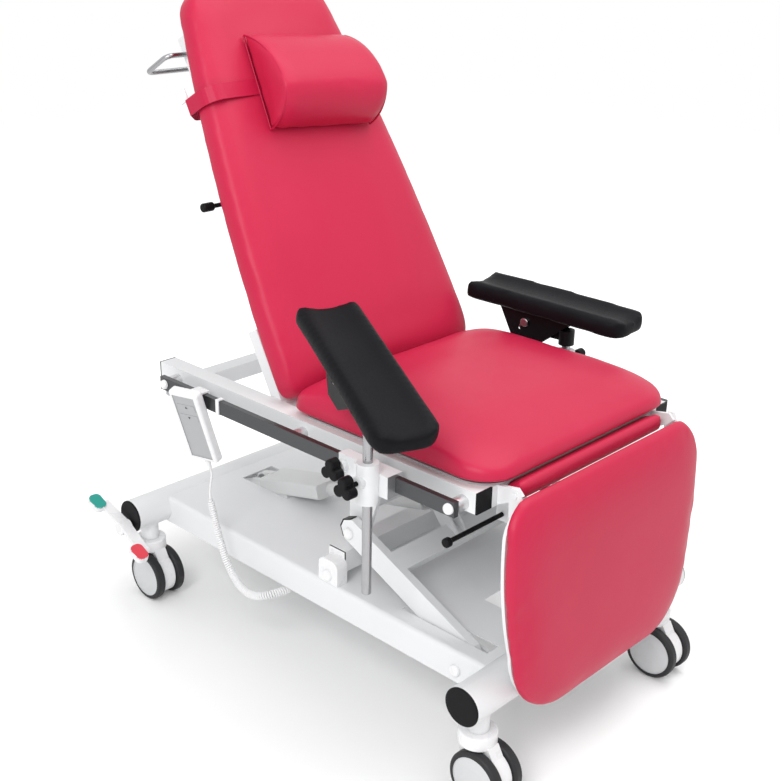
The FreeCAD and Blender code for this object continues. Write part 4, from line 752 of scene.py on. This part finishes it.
def back_form(p):
    place = p / per_metre - back_hinge
    x, s, n = p.x, place.dot(back_axis) * per_metre, place.dot(back_face) * per_metre
    u, v = squared((abs(x) - back_corner_x) / back_corner, (back_corner_s - s) / back_corner, square_share)
    if u > 0 and v > 0:
        x = math.copysign(back_corner_x + back_corner * u, x)
        s = back_corner_s - back_corner * v
    s -= back_growth * max(0.0, back_corner_s - s) / back_corner
    return on_back(x, s, n) * per_metre


def leg_form(p):
    return p + leg_push * max(0.0, (p.z - leg_top) / leg_top_run)


# %% The five red pads and the two arm pads
upward = Vector((0, 0, 1))
leg_face = Vector((0, -0.9986, 0.0523))
for name, node, body, form, facing, spread in (
        ("seat_pad", "seat_cushion", "seat", seat_form, upward, 0.006),
        ("back_pad", "back_cushion", "back", back_form, back_face, 0.007),
        ("leg_pad", "leg_cushion", "leg", leg_form, leg_face, 0.006)):
    upholstered(name, node, body, rounds=30, form=form, facing=facing, flat=facing, spread=spread)
upholstered("front_pad", "front_roll", "seat", cell=0.004, rounds=2, depth=0.0005, cap=0.001)
upholstered("head_pillow", "headrest_cushion", "headrest", cell=0.004, rounds=3, depth=0.001, cap=0.002)
for side in ("right", "left"):
    pad = "armrest_%s_pad" % side
    upholstered("arm_pad_" + side, pad, pad, cell=0.004, rounds=7, depth=0.0003, pressure=2.0, cap=0.001,
                facing=upward, relax=0, spread=0.0025, cover=black_foam, slot="black_foam")

# %% [markdown]
# The pillow's strap and piping
#
# A band of the same cover goes round the backrest and holds the pillow. It starts as a flat ring of
# six corners, rounded by bevels to hug the cushion's sides, drawn out to its width and given a
# thickness. Two thin welts of piping follow the pillow's ends, and a small white tag sits on the band.

# %% Strap round the backrest
strap_low = 537.5
strap_width = 29.0
strap_thick = 0.0014
strap_edge = 0.0005
strap_front_round = 0.034
strap_rear_round = 0.008
strap_rear = -0.015
strap_corners = [(-174, -15.8), (-205.5, 16), (-205.5, 85.8), (205.5, 85.8), (205.5, 16), (174, -15.8)]


def strap_piece():
    bm = bmesh.new()
    ring = [bm.verts.new(on_back(x, strap_low, n)) for x, n in strap_corners]
    for i, corner in enumerate(ring):
        bm.edges.new((corner, ring[(i + 1) % len(ring)]))
    bmesh.ops.bevel(bm, geom=ring[2:4], offset=strap_front_round, segments=8, profile=0.5,
                    affect="VERTICES", material=-1)
    rears = [v for v in bm.verts if (v.co - on_back(0, strap_low, 0)).dot(back_face) < strap_rear]
    bmesh.ops.bevel(bm, geom=rears, offset=strap_rear_round, segments=4, profile=0.5,
                    affect="VERTICES", material=-1)
    made = bmesh.ops.extrude_edge_only(bm, edges=bm.edges[:])["geom"]
    moved = [v for v in made if isinstance(v, bmesh.types.BMVert)]
    bmesh.ops.translate(bm, verts=moved, vec=back_axis * strap_width / per_metre)
    bmesh.ops.recalc_face_normals(bm, faces=bm.faces)
    bmesh.ops.solidify(bm, geom=bm.faces[:], thickness=strap_thick)
    bmesh.ops.recalc_face_normals(bm, faces=bm.faces)
    piece = new_piece("pillow_strap", bm, "headrest", "strap", red_piping)
    edge = piece.modifiers.new("edge", "BEVEL")
    edge.width = strap_edge
    edge.segments = 2
    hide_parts("headrest_strap")


strap_piece()

# %% Piping round the pillow's ends
pillow_turn = math.radians(-4)
pillow_across = 27
pillow_middle = 551.5
pillow_base = 84.7
pillow_half = 121
pillow_low = 458
pillow_high = 645
pillow_peak = 514.1
piping_inset = 4.4
piping_radius = 0.0018


def pillow_spot(x, s, n):
    up = s - pillow_middle
    across = pillow_across + x * math.cos(pillow_turn) - up * math.sin(pillow_turn)
    along = pillow_middle + x * math.sin(pillow_turn) + up * math.cos(pillow_turn)
    return on_back(across, along, pillow_base + n)


def arc_spots(a, b, c, count):
    ab, ac = b - a, c - a
    over = ab.cross(ac)
    reach = over.cross(ab) * ac.length_squared + ac.cross(over) * ab.length_squared
    centre = a + reach / (2 * over.length_squared)
    axis = over.normalized()
    whole = (a - centre).angle(b - centre) + (b - centre).angle(c - centre)
    return [centre + Matrix.Rotation(whole * i / count, 3, axis) @ (a - centre) for i in range(count)]


pillow_outline = (
    (pillow_low + piping_inset, 1), (pillow_low + 14 + piping_inset, 48.4 - piping_inset),
    (pillow_peak, 78 - piping_inset), (pillow_peak + 72, 57.7 - piping_inset),
    (pillow_high - piping_inset, 1))
for x in (-pillow_half, pillow_half):
    corners = [pillow_spot(x, s, n) for s, n in pillow_outline]
    loop = arc_spots(*corners[:3], 12) + arc_spots(*corners[2:], 14)
    loop += [corners[4].lerp(corners[0], i / 8) for i in range(9)]
    welt = bpy.data.objects.new("pillow_welt", open_spline("pillow_welt", loop, piping_radius))
    scene.collection.objects.link(welt)
    welt.data.materials.append(red_piping)
    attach(welt, "headrest")

# %% Tag on the strap
tag_size = (0.004, 0.022, 0.022)
tag_place = on_back(-201, 576, 8)
tag_round = 0.0008
bm = bmesh.new()
bmesh.ops.create_cube(bm, size=1.0)
bmesh.ops.scale(bm, vec=tag_size, verts=bm.verts)
bmesh.ops.rotate(bm, verts=bm.verts, matrix=Matrix.Rotation(slope, 3, "X"))
bmesh.ops.translate(bm, verts=bm.verts, vec=tag_place)
bmesh.ops.bevel(bm, geom=bm.edges[:], offset=tag_round, segments=2, profile=0.5, affect="EDGES")
new_piece("strap_tag", bm, "headrest", "strap", white_moulded)
print("strap placed")

# %% [markdown]
# Floor and light
#
# The light comes from a soft box above the chair's right side, a weaker and larger one overhead, and
# an even pale surround. The floor keeps the chair's shadow near it and turns white further away, by a
# glow that only the camera sees. The surround is white to the camera and in reflections.

# %% Floor, surround and lamps
floor_half = 6.0
glow_start = 0.45
glow_end = 1.3
glow_top = 0.35
surround_light = 0.90
bm = bmesh.new()
bmesh.ops.create_grid(bm, x_segments=1, y_segments=1, size=floor_half)
ground_mesh = bpy.data.meshes.new("ground")
bm.to_mesh(ground_mesh)
bm.free()
ground = bpy.data.objects.new("ground", ground_mesh)
scene.collection.objects.link(ground)
ground_look = Finish("pale floor", (0.95, 0.95, 0.95), 0.9, Emission_Strength=1.0)
seen_first = ground_look.add("ShaderNodeLightPath", {}, {}, "Is Camera Ray")
apart = ground_look.add("ShaderNodeVectorMath", {"operation": "LENGTH"}, {0: ground_look.place}, "Value")
away = ground_look.add("ShaderNodeMapRange", {}, {"Value": apart, "From Min": glow_start,
                                                  "From Max": glow_end, "To Min": 0.0, "To Max": glow_top})
ground_look.feed("Emission Color", seen_first * away)
ground_mesh.materials.append(ground_look.material)

world = bpy.data.worlds.new("surround")
scene.world = world
world.use_nodes = True
sky = world.node_tree
sky.nodes.clear()
rays = sky.nodes.new("ShaderNodeLightPath")
seen = sky.nodes.new("ShaderNodeMath")
seen.operation = "MAXIMUM"
sky.links.new(rays.outputs["Is Camera Ray"], seen.inputs[0])
sky.links.new(rays.outputs["Is Glossy Ray"], seen.inputs[1])
shown = sky.nodes.new("ShaderNodeBackground")
shown.inputs["Strength"].default_value = 1.0
shown.inputs["Color"].default_value = (1.0, 1.0, 1.0, 1.0)
lit = sky.nodes.new("ShaderNodeBackground")
lit.inputs["Strength"].default_value = surround_light
chosen = sky.nodes.new("ShaderNodeMixShader")
sky.links.new(seen.outputs[0], chosen.inputs[0])
sky.links.new(lit.outputs[0], chosen.inputs[1])
sky.links.new(shown.outputs[0], chosen.inputs[2])
out = sky.nodes.new("ShaderNodeOutputWorld")
sky.links.new(chosen.outputs[0], out.inputs[0])


def soft_box(name, place, aim, size, power):
    lamp = bpy.data.lights.new(name, "AREA")
    lamp.shape = "RECTANGLE"
    lamp.size, lamp.size_y = size
    lamp.energy = power
    holder = bpy.data.objects.new(name, lamp)
    scene.collection.objects.link(holder)
    holder.location = place
    holder.rotation_euler = (Vector(aim) - Vector(place)).to_track_quat("-Z", "Y").to_euler()


soft_box("key", (-2.6, -1.2, 2.6), (0, -0.1, 0.6), (1.6, 1.6), 60)
soft_box("top", (0.6, -0.6, 3.2), (0, 0, 0.5), (2.4, 2.4), 44)
print("lamps placed")
